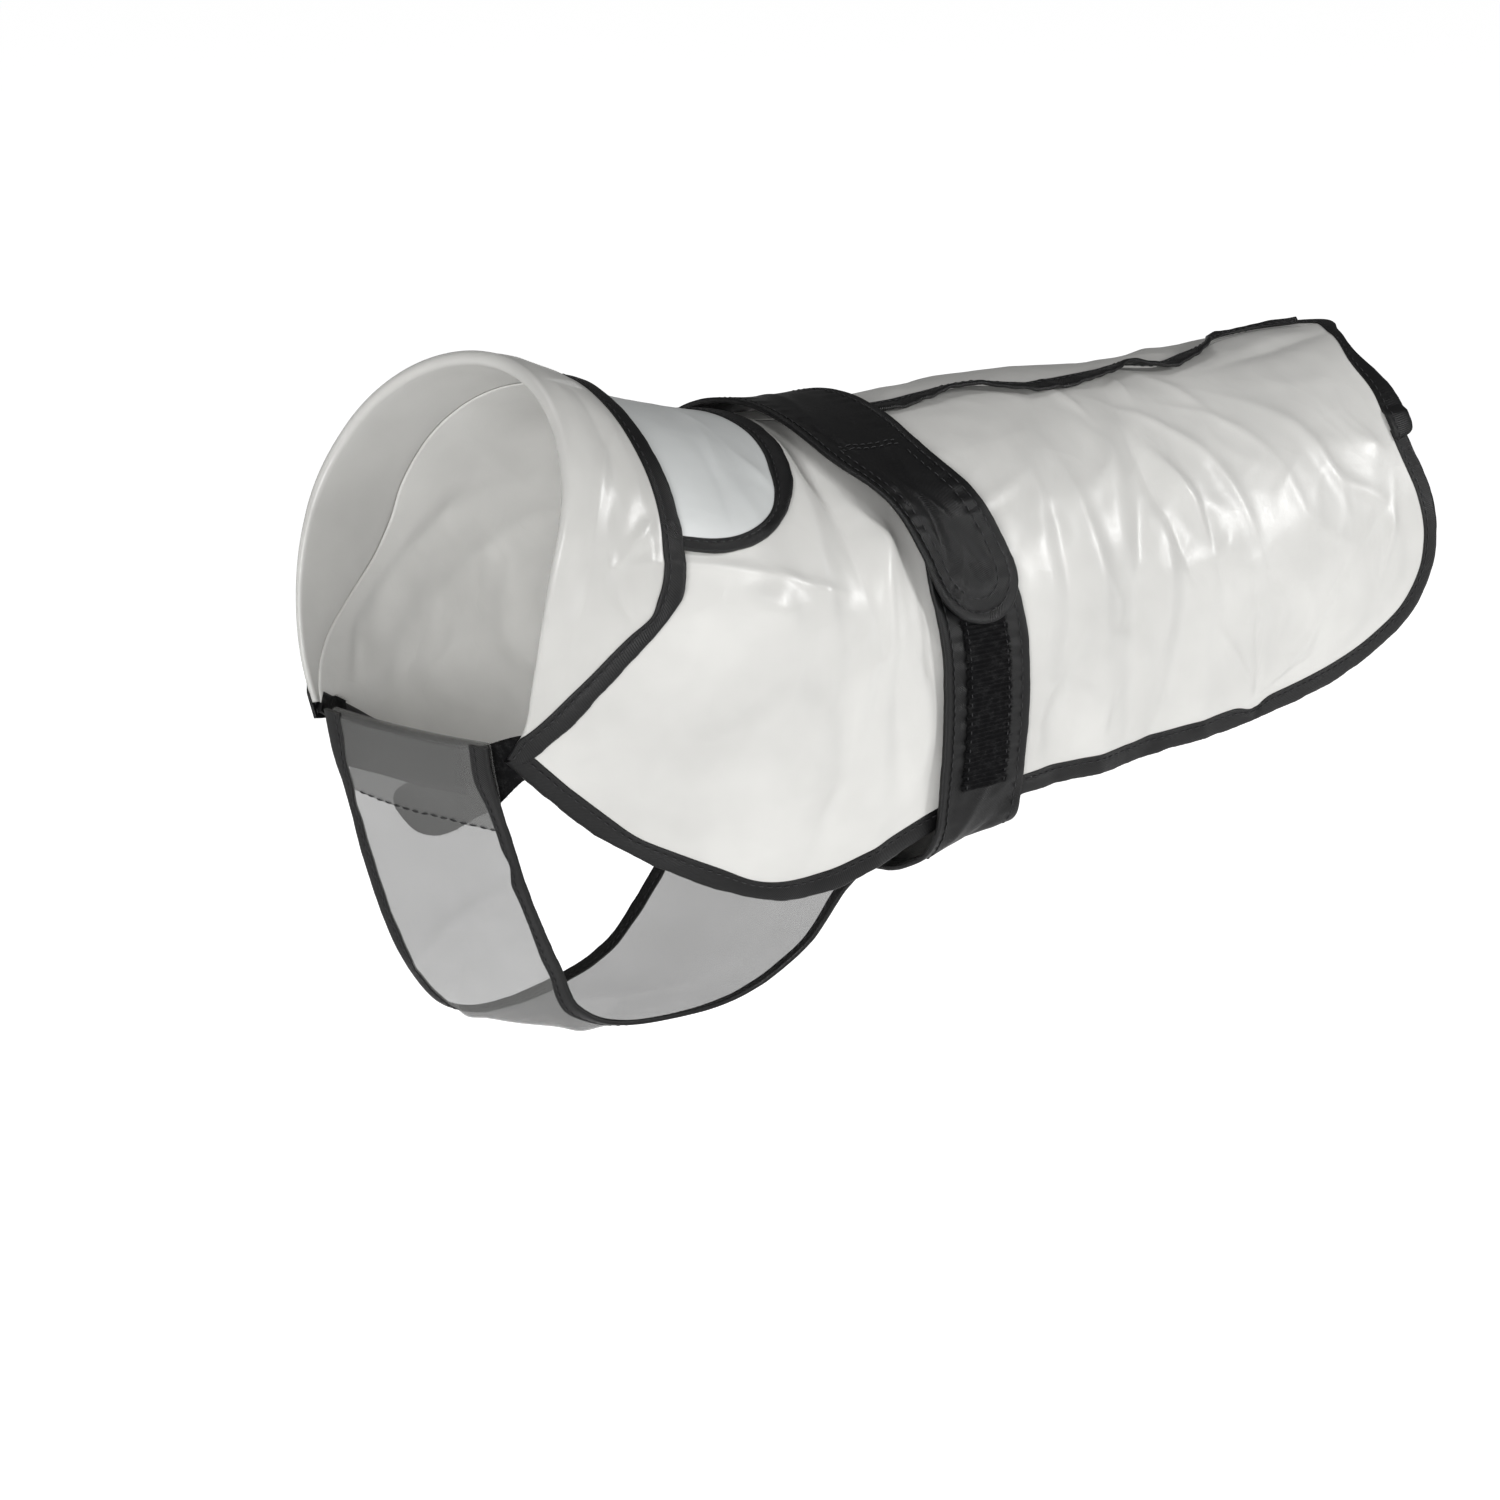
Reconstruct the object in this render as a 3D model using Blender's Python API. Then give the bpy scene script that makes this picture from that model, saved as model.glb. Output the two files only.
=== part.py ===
"""Dog raincoat in its worn, hollow form.

Two frosted back panels with bound hems meet in a bound seam down the back. A turned-down collar, a round
flap over the shoulders, a chest panel that runs back between the forelegs, two neck tabs and a belly strap
with a strip of hook tape make up the rest. Metres, +Z up, +X towards the tail, the near side at -Y. The
origin lies on the inner face of the back, where the coat rests on the wearer.

Every piece that lies on the coat is a patch of the same worn surface, moved outwards. A place on it is
(along, across): mm along the back line from the origin, and mm of cloth round the body from that line, the
near side negative.
"""

from collections import namedtuple
from math import pi, radians

import bmesh
import bpy
import numpy as np

MM = 0.001

# Walls, tapes and the gap left where two pieces meet, in mm
FILM = 1.2
WEBBING = 2.0
TAPE = 2.4
TAPE_WIDTH = 10.0
GAP = 0.3
TAPE_LOW = (FILM - TAPE) / 2
TAPE_HIGH = (FILM + TAPE) / 2

# The worn form: a ring of cloth at each place down the back. x and z of the top line in mm, lean and yaw of
# the ring's plane in degrees, radius over the back and at the side in mm, and how far the cloth below the
# side turns under on the near and on the far side, in degrees for each 100 mm.
Ring = namedtuple("Ring", "x z lean yaw crown side near far")
RINGS = (
    Ring(-206, 37, 12, 10, 76, 80, 52, 24),
    Ring(-170, 23, 11, 8, 88, 84, 38, 22),
    Ring(-128, 10, 7, 5, 98, 88, 16, 14),
    Ring(-82, 0, 3, 2, 100, 92, 8, 8),
    Ring(-35, -1, 1, 0, 100, 95, 8, 8),
    Ring(0, 0, 0, 0, 100, 95, 10, 10),
    Ring(90, 3, 0, 0, 98, 94, 12, 12),
    Ring(150, 0, 0, 0, 97, 93, 12, 12),
    Ring(200, 2, 0, 0, 96, 92, 12, 12),
    Ring(250, 5, 1, 0, 94, 90, 14, 14),
    Ring(300, 7, 2, 0, 91, 88, 18, 18),
)
ORIGIN_RING = 5
CROWN_TURN = radians(50)

# Largest folds: middle, heading in degrees from the back line, half length, half width and height in mm
Fold = namedtuple("Fold", "along across heading length width height")
FOLDS = (
    Fold(-66, -118, 84, 48, 15, 6),
    Fold(-122, -124, 8, 42, 14, 3),
    Fold(38, -120, 80, 60, 20, 2.5),
    Fold(112, -104, 96, 52, 18, -2.5),
    Fold(186, -110, 72, 50, 20, 2.5),
    Fold(-70, 112, 96, 52, 18, 4),
    Fold(62, 116, 84, 58, 20, 3),
    Fold(170, 108, 100, 54, 20, -2.5),
)

# Outline of each back panel from the neck to the tail: along, and mm of cloth down from the back line
Edge = namedtuple("Edge", "along drop")
NEAR_EDGE = (
    Edge(-208, 213),
    Edge(-188, 226),
    Edge(-166, 239),
    Edge(-137, 250),
    Edge(-102, 254),
    Edge(-52, 236),
    Edge(-24, 227),
    Edge(12, 224),
    Edge(80, 223),
    Edge(143, 214),
    Edge(211, 203),
    Edge(240, 194),
    Edge(264, 180),
    Edge(277, 160),
    Edge(279, 140),
    Edge(275, 119),
    Edge(269, 98),
    Edge(268, 70),
    Edge(269, 44),
    Edge(281, 16),
    Edge(290, 0),
)
FAR_EDGE = (
    Edge(-219, 206),
    Edge(-196, 215),
    Edge(-170, 226),
    Edge(-137, 235),
    Edge(-102, 234),
    Edge(-52, 214),
    Edge(-24, 206),
    Edge(12, 198.5),
    Edge(61, 193),
    Edge(149, 188),
    Edge(211, 186),
    Edge(240, 181),
    Edge(264, 170),
    Edge(277, 151),
    Edge(279, 132),
    Edge(275, 114),
    Edge(269, 95),
    Edge(268, 68),
    Edge(269, 43),
    Edge(281, 16),
    Edge(290, 0),
)
REAR_CORNER = 12
PANEL_ROWS = 28
PANEL_COLUMNS = 13
HEM_STEP = 10.0

# The far hem's tape laps over the tail onto the near side: where it ends, how far it stands past the edge
# there, and between which places that fades out
LAP_END = -92.4
LAP_PROUD = 6.0
LAP_FADES = (-62.0, -30.0)

# Centre-back seam: its place, and how far the bound ridge on it has flopped from upright, in degrees
Seam = namedtuple("Seam", "along across flop")
SEAM = (
    Seam(-212, 0, 90),
    Seam(-100, -6, 90),
    Seam(-34, -10, 91),
    Seam(-5, -13, 89),
    Seam(17, -11, 81),
    Seam(47, -10, 74),
    Seam(69, -21, 86),
    Seam(98, -20, 86),
    Seam(121, -15, 78),
    Seam(142, -9, 62),
    Seam(159, -14, 80),
    Seam(180, -9, 76),
    Seam(199, -4, 52),
    Seam(212, 3, -22),
    Seam(226, 7, -76),
    Seam(245, 7, -80),
    Seam(264, 2, -56),
    Seam(291, 0, 0),
)
RIDGE_START = -34.0
RIDGE_END = 270.0
RIDGE_FOOT = 0.6
RIDGE_HEIGHT = 10.5
RIDGE_POINTS = 56

# Fold line of the collar round the neck
Neck = namedtuple("Neck", "across along")
NECK = (
    Neck(-212, -208),
    Neck(-191, -211),
    Neck(-167, -218),
    Neck(-140, -224),
    Neck(-119, -226),
    Neck(-80, -222),
    Neck(0, -214),
    Neck(80, -222),
    Neck(140, -230),
    Neck(180, -227),
    Neck(208, -219),
)

# Collar by mm round from the back: from its seam up to the fold line, from there down to its bound edge, and
# how high the turned-down part lies above the panel's inner face
Collar = namedtuple("Collar", "across stand fall rise")
COLLAR = (
    Collar(0, 33, 47, 5.8),
    Collar(31, 36, 44, 5.8),
    Collar(56, 38, 47, 5.8),
    Collar(80, 40, 52, 5.7),
    Collar(103, 43, 56, 5.4),
    Collar(121, 46, 57, 4.4),
    Collar(137, 42, 48, 3.6),
    Collar(153, 31, 36, 3.0),
    Collar(172, 16, 23, 2.7),
    Collar(192, 6, 12, 2.6),
    Collar(208, 2, 6, 2.6),
)
COLLAR_END = 183.0
COLLAR_TAPE_END = 208.0
COLLAR_COLUMNS = 27
COLLAR_TAPE_POINTS = 42

# Flap over the shoulders: a rounded oblong from the collar's seam
FLAP_ROOT = -179.0
FLAP_SHOULDER = -160.0
FLAP_LENGTH = 77.0
FLAP_HALF_WIDTH = 99.0
FLAP_MIDDLE = -6.0
FLAP_ROUNDNESS = 2.2
FLAP_LOW = 1.9
FLAP_COLUMNS = 17
FLAP_ROWS = 7
FLAP_TAPE_POINTS = 40

# Belly strap: its middle, width and stand-off from the coat, and how much more its front edge stands off,
# by mm round from the back line. Under the belly its rear edge rises: mm for each mm, fully so after a share of
# the way.
Strap = namedtuple("Strap", "across along width lift front")
STRAP = (
    Strap(-226, -14, 46, 2.8, 1.5),
    Strap(-170, -13.5, 46, 2.6, 0.5),
    Strap(-136, -17, 47, 2.8, 1),
    Strap(-110, -23, 48, 3.0, 2.5),
    Strap(-84, -31, 52, 3.4, 3),
    Strap(-61, -41, 56, 4.2, 3),
    Strap(-25, -46, 57, 5.0, 2),
    Strap(10, -46, 55, 5.0, 1.5),
    Strap(60, -44, 52, 4.4, 3),
    Strap(110, -39, 48, 3.6, 3),
    Strap(170, -31, 46, 2.8, 1),
    Strap(226, -22, 46, 2.8, 1.5),
)
STRAP_LEAVES = 224.5
BELLY_CORNER_RADIUS = 17.0
BELLY_CORNER_TURN = radians(168)
BELLY_ALONG = -18.0
BELLY_TILT = 0.42
BELLY_TILT_FADE = 0.2
STRAP_TIP = -138.0
STRAP_HIDDEN_END = -92.0
STRAP_TAPE = 6.5
STRAP_TAPE_PROUD = 0.25
OVERLAP_RISE = 4.2
OVERLAP_FULL = -92.0
OVERLAP_NONE = -50.0
STRAP_STEP = 13.0
HOOK_TOP = -127.0
HOOK_BOTTOM = -212.0
HOOK_WIDTH = 23.0
HOOK_WALL = 1.2

# Chest panel from its top fold to the belly strap: middle of the chord between its edges, half width, turn
# of its face towards the near side in degrees, how much lower the far edge hangs, and sag between the edges
Chest = namedtuple("Chest", "x z half turn tip sag")
CHEST = (
    Chest(-249.5, -113, 48, 15, 0, 3),
    Chest(-246.5, -131, 47, 16, 0, 3),
    Chest(-240.5, -150, 45.5, 18, 0, 3),
    Chest(-229, -190, 44, 22, 2, 4),
    Chest(-213, -229, 41.5, 27, 4, 5),
    Chest(-201, -248, 38, 24, 10, 6),
    Chest(-185, -256.5, 38.5, 21, 9, 5),
    Chest(-150, -258, 42, 13, 6, 6),
    Chest(-112, -250, 49, 6, 2, 6),
    Chest(-82, -228, 60, 2, 0, 6),
    Chest(-61, -202.5, 65, 0, 0, 6),
    Chest(-49, -194.0, 66, 0, 0, 6),
    Chest(-28, -187.0, 66, 0, 0, 6),
)
TUNNEL_DEPTH = 46.0
TUNNEL_ROOM = 5.0
CHEST_COLUMNS = 6
CHEST_STEP = 13.0

# Neck tabs, each from the near side to the far side: a root lies inside a corner of the back panels, a stop
# behind the chest panel or in its tunnel. Columns: a place on the tab's upper edge, one on its lower edge, and
# how far inside it lies. A place on the coat is along and across, one on the chest panel share and mm down.
TabRoot = namedtuple("TabRoot", "upper_along upper_across lower_along lower_across inside")
TabStop = namedtuple("TabStop", "upper_share upper_down lower_share lower_down inside")
TAB_WALL = 1.8
TAB_STEP = 7.0
NEAR_TAB_ROOTS = (
    TabRoot(-203, -195, -194, -215, 2.4),
    TabRoot(-209, -200, -197, -222, 2.8),
)
NEAR_TAB_STOPS = (
    TabStop(-0.84, 4, -0.8, 35, 8.4),
    TabStop(-0.5, 12, -0.48, 43, 8.4),
    TabStop(-0.2, 21, -0.18, 51, 8.4),
    TabStop(0.08, 28, 0.08, 55, 8.4),
    TabStop(0.32, 33, 0.3, 54, 8.4),
    TabStop(0.46, 37, 0.45, 50, 8.4),
    TabStop(0.53, 41, 0.53, 46, 8.4),
)
FAR_TAB_STOPS = (
    TabStop(-0.62, 3, -0.62, 26, 2.8),
    TabStop(-0.1, 3, -0.1, 26, 2.8),
    TabStop(0.5, 3, 0.5, 26, 2.8),
    TabStop(0.76, 4, 0.76, 26.5, 2.8),
    TabStop(0.98, 4.5, 0.98, 26, 3),
)
FAR_TAB_ROOTS = (
    TabRoot(-213, 199, -213, 214, 2.6),
    TabRoot(-206, 201, -206, 213, 2.4),
)

NYLON = ("black_nylon", (0.012, 0.012, 0.014), 0.5)
PVC = ("frosted_pvc", (0.72, 0.73, 0.72), 0.35)
HOOKS = ("hook_tape", (0.008, 0.008, 0.009), 0.9)


def smooth_rows(knots, rows, at):
    """Values between the rows of a table: a cubic through each row, its slope the mean of its two sides."""
    knots, rows, at = (np.asarray(v, float) for v in (knots, rows, at))
    spans = np.diff(knots)
    rises = np.diff(rows, axis=0) / spans[:, None]
    slopes = np.concatenate([rises[:1], (rises[1:] + rises[:-1]) / 2, rises[-1:]])
    i = np.clip(np.searchsorted(knots, at) - 1, 0, len(spans) - 1)
    span = spans[i][..., None]
    inside = np.clip(at, knots[0], knots[-1])
    beyond = (at - inside)[..., None]
    t = ((inside - knots[i]) / spans[i])[..., None]
    start = (2 * t**3 - 3 * t**2 + 1) * rows[i] + (t**3 - 2 * t**2 + t) * span * slopes[i]
    end = (3 * t**2 - 2 * t**3) * rows[i + 1] + (t**3 - t**2) * span * slopes[i + 1]
    return start + end + beyond * np.where(beyond < 0, slopes[0], slopes[-1])


def read_table(table, at):
    """The columns of a table after its first, at places along that first column."""
    rows = np.array(table, float)
    return np.moveaxis(smooth_rows(rows[:, 0], rows[:, 1:], at), -1, 0)


def ease(t):
    """0 to 1 with level ends."""
    t = np.clip(t, 0, 1)
    return t * t * (3 - 2 * t)


def distances(points):
    """Distance along a line of points, from its start."""
    steps = np.linalg.norm(np.diff(points, axis=0), axis=1)
    return np.concatenate([[0], np.cumsum(steps)])


def evenly(points, count):
    """The same line with `count` points, evenly spaced."""
    gone = distances(points)
    at = np.linspace(0, gone[-1], count)
    return np.stack([np.interp(at, gone, points[:, k]) for k in range(points.shape[1])], -1)


def unit(vectors):
    return vectors / np.linalg.norm(vectors, axis=-1, keepdims=True)


def leftward(line):
    """Unit directions square to a flat line, to its left."""
    ahead = np.gradient(line, axis=-2)
    return unit(np.stack([-ahead[..., 1], ahead[..., 0]], -1))


def two_faces(profile, wall):
    """The two faces of a wall whose middle is a flat profile."""
    square = leftward(profile) * wall / 2
    return profile - square, profile + square


def arc_step(length, turned, bend):
    """Sideways and down of an arc that starts turned from level and bends by `bend` for each mm."""
    ahead = turned + bend * length
    return (np.sin(ahead) - np.sin(turned)) / bend, (np.cos(turned) - np.cos(ahead)) / bend


RING_ROWS = np.array(RINGS, float)
RING_PLACES = distances(RING_ROWS[:, :2])
RING_PLACES = RING_PLACES - RING_PLACES[ORIGIN_RING]


def ring_section(across, crown, side, tuck):
    """Sideways and down of the cloth of a ring: an arc over the back, one at the side, and a slow turn under."""
    run = np.abs(across)
    over = crown * CROWN_TURN
    round_side = side * (pi / 2 - CROWN_TURN)
    steps = (
        arc_step(np.clip(run, 0, over), 0, 1 / crown),
        arc_step(np.clip(run - over, 0, round_side), CROWN_TURN, 1 / side),
        arc_step(np.clip(run - over - round_side, 0, None), pi / 2, np.radians(tuck) / 100),
    )
    out = sum(step[0] for step in steps)
    down = sum(step[1] for step in steps)
    return np.sign(across) * out, down


def body_form(along, across):
    """The worn form without folds."""
    rows = smooth_rows(RING_PLACES, RING_ROWS, along)
    x, z, lean, yaw, crown, side, near, far = np.moveaxis(rows, -1, 0)
    out, down = ring_section(across, crown, side, np.where(across < 0, near, far))
    lean, yaw = np.radians(lean), np.radians(yaw)
    back = np.sin(lean) * down + np.sin(yaw) * out
    return np.stack([x - back, np.cos(yaw) * out, z - np.cos(lean) * down], -1)


def fold_height(along, across):
    """Sum of the folds: each is a bell across its heading, faded out along it."""
    height = np.zeros(np.shape(along))
    for fold in FOLDS:
        heading = radians(fold.heading)
        right, up = along - fold.along, across - fold.across
        lengthwise = right * np.cos(heading) + up * np.sin(heading)
        sideways = up * np.cos(heading) - right * np.sin(heading)
        height += fold.height * np.exp(-((lengthwise / fold.length) ** 2) - (sideways / fold.width) ** 2)
    return height


def coat_frame(along, across):
    """Points on the worn surface, and its unit directions outwards and across."""
    along, across = np.broadcast_arrays(np.asarray(along, float), np.asarray(across, float))
    step = 0.5
    by_along = body_form(along + step, across) - body_form(along - step, across)
    by_across = body_form(along, across + step) - body_form(along, across - step)
    normal = unit(np.cross(by_along, by_across))
    place = body_form(along, across) + normal * fold_height(along, across)[..., None]
    return place, normal, unit(by_across)


def coat(along, across, out=0.0):
    """Points on the worn surface, moved outwards by `out` mm."""
    place, normal, _ = coat_frame(along, across)
    return place + normal * np.broadcast_to(out, place.shape[:-1])[..., None]


def material(name, colour, roughness):
    found = bpy.data.materials.get(name)
    if found:
        return found
    made = bpy.data.materials.new(name)
    made.use_nodes = True
    shader = made.node_tree.nodes["Principled BSDF"]
    shader.inputs["Base Color"].default_value = (*colour, 1)
    shader.inputs["Roughness"].default_value = roughness
    shader.inputs["Metallic"].default_value = 0
    made.diffuse_color = (*colour, 1)
    return made


def add_wall(name, inner, outer, finish):
    """One closed wall between two grids of points in mm: both faces and the rim round them."""
    rows, columns = inner.shape[:2]
    mesh_data = bmesh.new()
    grids = []
    for grid in (inner, outer):
        verts = [mesh_data.verts.new(point) for point in grid.reshape(-1, 3) * MM]
        grids.append([verts[i * columns : (i + 1) * columns] for i in range(rows)])
    for i in range(rows - 1):
        for j in range(columns - 1):
            for grid in grids:
                mesh_data.faces.new((grid[i][j], grid[i + 1][j], grid[i + 1][j + 1], grid[i][j + 1]))
    rim = [(i, 0) for i in range(rows)] + [(rows - 1, j) for j in range(1, columns)]
    rim += [(i, columns - 1) for i in reversed(range(rows - 1))]
    rim += [(0, j) for j in reversed(range(1, columns - 1))]
    low, high = grids
    for (i, j), (k, m) in zip(rim, rim[1:] + rim[:1]):
        mesh_data.faces.new((low[i][j], low[k][m], high[k][m], high[i][j]))
    bmesh.ops.recalc_face_normals(mesh_data, faces=mesh_data.faces)
    mesh = bpy.data.meshes.new(name)
    mesh_data.to_mesh(mesh)
    mesh_data.free()
    mesh.shade_smooth()
    mesh.set_sharp_from_angle(angle=radians(40))
    mesh.materials.append(material(*finish))
    part = bpy.data.objects.new(name, mesh)
    bpy.context.scene.collection.objects.link(part)
    return part


def add_patch(name, patch, low, high, finish):
    """A wall on the coat over a grid of (along, across), between two heights."""
    along, across = patch[..., 0], patch[..., 1]
    return add_wall(name, coat(along, across, low), coat(along, across, high), finish)


def coat_outline():
    """The bound outline, from the near neck corner over the tail to the far one, and the distance of each row."""
    near = [(edge.along, -edge.drop) for edge in NEAR_EDGE]
    far = [(edge.along, edge.drop) for edge in reversed(FAR_EDGE[:-1])]
    rows = np.array(near + far, float)
    knots = distances(rows)
    at = np.arange(0, knots[-1] + 1)
    return smooth_rows(knots, rows, at), at, knots


def neck_seam(across):
    """Where the collar's seam crosses the coat."""
    fold = read_table(NECK, across)[0]
    return fold + read_table(COLLAR, np.abs(across))[0]


def seam_across(along):
    return read_table(SEAM, along)[0]


def panel_patch(trimmed, corner, side):
    """(along, across) of a back panel between its seam, hem, neck and rear edges.

    `trimmed` runs along the hem from the neck, round the rear corner and up to the back seam.
    """
    below = trimmed[:2] - 2 * (trimmed[1] - trimmed[0]) * np.arange(6, 0, -1)[:, None, None]
    hem = np.concatenate([below[:, 0], trimmed[: corner + 1]])
    hem = evenly(hem[hem[:, 0] > neck_seam(hem[:, 1])], PANEL_ROWS)
    rear = trimmed[corner:]
    rear = rear[side * (rear[:, 1] - seam_across(rear[:, 0])) > GAP]
    end = rear[-1]
    rear = evenly(np.concatenate([[(end[0], seam_across(end[0]) + side * GAP)], rear[::-1]]), PANEL_COLUMNS)
    tail, top = rear[0, 0], seam_across(neck_seam(0.0)) + side * GAP
    seam_along = np.linspace(neck_seam(top), tail, PANEL_ROWS)
    seam = np.stack([seam_along, seam_across(seam_along) + side * GAP], -1)
    round_neck = np.linspace(seam[0, 1], hem[0, 1], PANEL_COLUMNS)
    neck = np.stack([neck_seam(round_neck), round_neck], -1)
    u = np.linspace(0, 1, PANEL_ROWS)[:, None, None]
    v = np.linspace(0, 1, PANEL_COLUMNS)[None, :, None]
    ruled = (1 - v) * seam[:, None] + v * hem[:, None] + (1 - u) * neck[None] + u * rear[None]
    corners = (1 - u) * ((1 - v) * seam[0] + v * hem[0]) + u * ((1 - v) * seam[-1] + v * hem[-1])
    return ruled - corners


def make_back_panels():
    line, at, knots = coat_outline()
    trimmed = line + leftward(line) * (TAPE_WIDTH + 2 * GAP)
    tail = len(NEAR_EDGE) - 1
    corner = np.searchsorted(at, (knots[REAR_CORNER], knots[tail], knots[2 * tail - REAR_CORNER]))
    near = panel_patch(trimmed[: corner[1] + 1], corner[0], -1)
    far = panel_patch(trimmed[corner[1] :][::-1], len(at) - 1 - corner[2], 1)
    add_patch("back_panel_near", near, 0, FILM, PVC)
    add_patch("back_panel_far", far, 0, FILM, PVC)


def make_hem_tapes():
    line, _, knots = coat_outline()
    inner = line + leftward(line) * TAPE_WIDTH
    fades_from, fades_to = LAP_FADES
    behind = line[:, 0] > RINGS[-3].x
    lap = LAP_PROUD * ease((fades_to - line[:, 1]) / (fades_to - fades_from))
    outer = line - leftward(line) * lap[:, None]
    end = np.argmax(behind & (line[:, 1] > LAP_END))
    for name, first, second in (
        ("hem_tape_near", inner[: end - 1], line[: end - 1]),
        ("hem_tape_far", inner[end:], outer[end:]),
    ):
        count = round(distances(second)[-1] / HEM_STEP)
        at = np.linspace(0, len(first) - 1, count).round().astype(int)
        add_patch(name, np.stack([first[at], second[at]], 1), TAPE_LOW, TAPE_HIGH, NYLON)


def make_seam_tape():
    """A band that stands on the back seam, tipped towards the near side by the flop of the seam's table."""
    along = np.linspace(RIDGE_START, RIDGE_END, RIDGE_POINTS)
    across, flop = read_table(SEAM, along)
    flop = np.radians(flop)[:, None]
    place, normal, sideways = coat_frame(along, across)
    foot = place + normal * (FILM + GAP + TAPE / 2 * np.abs(np.sin(flop)))
    rising = normal * np.cos(flop) - sideways * np.sin(flop)
    facing = normal * np.sin(flop) + sideways * np.cos(flop)
    middle = foot[:, None] + rising[:, None] * np.array([RIDGE_FOOT, RIDGE_HEIGHT])[:, None]
    wall = facing[:, None] * TAPE / 2
    add_wall("back_seam_tape", middle - wall, middle + wall, NYLON)


def make_collar():
    """A band from the neck seam up to the fold line, round it, and down over the panels to its tape."""
    across = np.linspace(-COLLAR_END, COLLAR_END, COLLAR_COLUMNS)
    fold = read_table(NECK, across)[0]
    stand, fall, rise = read_table(COLLAR, np.abs(across))
    radius = (rise - FILM) / 2 + FILM / 2
    middle = fold + radius + FILM / 2
    level = np.full(len(across), FILM / 2)
    seam = fold + stand - 3 * GAP
    edge = fold + fall - TAPE_WIDTH - 3 * GAP
    points = [(seam, level), ((seam + middle) / 2, level)]
    for turn in np.radians((0, 45, 90, 135, 180)):
        points.append((middle - radius * np.sin(turn), level + radius * (1 - np.cos(turn))))
    for share in (0.35, 0.7, 1):
        points.append((middle + (edge - middle) * share, rise + FILM / 2))
    profile = np.moveaxis(np.array(points), (0, 1), (1, 2))
    wearer_side, cloth_side = two_faces(profile, FILM)
    grid_across = np.broadcast_to(across[:, None], profile.shape[:2])
    walls = [coat(face[..., 0], grid_across, face[..., 1]) for face in (wearer_side, cloth_side)]
    add_wall("collar", *walls, PVC)


def make_collar_tape():
    across = np.linspace(-COLLAR_TAPE_END, COLLAR_TAPE_END, COLLAR_TAPE_POINTS)
    fold = read_table(NECK, across)[0]
    _, fall, rise = read_table(COLLAR, np.abs(across))
    width = np.minimum(TAPE_WIDTH, fall)
    patch = np.stack([np.stack([fold + fall - width, across], -1), np.stack([fold + fall, across], -1)], 1)
    low = (rise + TAPE_LOW)[:, None]
    add_patch("collar_tape", patch, low, low + TAPE, NYLON)


def oblong_reach(sideways, length, half_width):
    """How far the flap's rounded end reaches past its shoulder, at a distance from its middle."""
    share = np.clip(np.abs(sideways) / half_width, 0, 1)
    return length * (1 - share**FLAP_ROUNDNESS) ** (1 / FLAP_ROUNDNESS)


def make_flap():
    sweep = np.sin(np.linspace(-pi / 2, pi / 2, FLAP_COLUMNS))
    trim = TAPE_WIDTH + GAP
    sideways = sweep * (FLAP_HALF_WIDTH - trim)
    reach = FLAP_SHOULDER + oblong_reach(sideways, FLAP_LENGTH - trim, FLAP_HALF_WIDTH - trim)
    share = np.linspace(0, 1, FLAP_ROWS)[:, None]
    along = FLAP_ROOT + (reach - FLAP_ROOT) * share
    patch = np.stack([along, np.broadcast_to(FLAP_MIDDLE + sideways, along.shape)], -1)
    add_patch("shoulder_flap", patch, FLAP_LOW, FLAP_LOW + FILM, PVC)


def make_flap_tape():
    turn = np.linspace(-pi / 2, pi / 2, 5 * FLAP_TAPE_POINTS)
    power = 2 / FLAP_ROUNDNESS
    sideways = FLAP_HALF_WIDTH * np.sign(turn) * np.abs(np.sin(turn)) ** power
    reach = FLAP_SHOULDER + FLAP_LENGTH * np.abs(np.cos(turn)) ** power
    line = np.stack([reach, FLAP_MIDDLE + sideways], -1)
    root = np.array([[FLAP_ROOT, line[0, 1]], [FLAP_ROOT, line[-1, 1]]])
    line = evenly(np.concatenate([root[:1], line, root[1:]]), FLAP_TAPE_POINTS)
    patch = np.stack([line, line + leftward(line) * TAPE_WIDTH], 1)
    add_patch("flap_tape", patch, FLAP_LOW, FLAP_LOW + TAPE, NYLON)


def belly_start():
    """Sideways and down where the strap leaves the flank, and how far it has turned from level there."""
    flank = coat(BELLY_ALONG, np.array([STRAP_LEAVES - 1, STRAP_LEAVES]), STRAP[0].lift)
    run = flank[1] - flank[0]
    return flank[1, 1], -flank[1, 2], np.arctan2(-run[2], run[1])


def belly_lengths():
    """Length of the strap round a corner of the belly, and from there to the middle."""
    out, _, turned = belly_start()
    corner = BELLY_CORNER_RADIUS * (BELLY_CORNER_TURN - turned)
    half = out + arc_step(corner, turned, 1 / BELLY_CORNER_RADIUS)[0]
    radius = half / np.sin(BELLY_CORNER_TURN)
    return corner, radius * (pi - BELLY_CORNER_TURN), radius


def belly_section(run, height):
    """y and z under the belly, `run` mm from the far flank: a corner arc, a shallow arc, and a corner arc."""
    out, down, turned = belly_start()
    corner, flat, radius = belly_lengths()
    whole = 2 * (corner + flat)
    side = np.where(run < whole / 2, 1, -1)
    run = np.minimum(run, whole - run)
    in_corner, past = np.clip(run, 0, corner), np.clip(run - corner, 0, flat)
    first = arc_step(in_corner, turned, 1 / BELLY_CORNER_RADIUS)
    second = arc_step(past, BELLY_CORNER_TURN, 1 / radius)
    angle = turned + in_corner / BELLY_CORNER_RADIUS + past / radius
    y = side * (out + first[0] + second[0] + np.sin(angle) * height)
    return y, -(down + first[1] + second[1]) + np.cos(angle) * height


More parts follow.
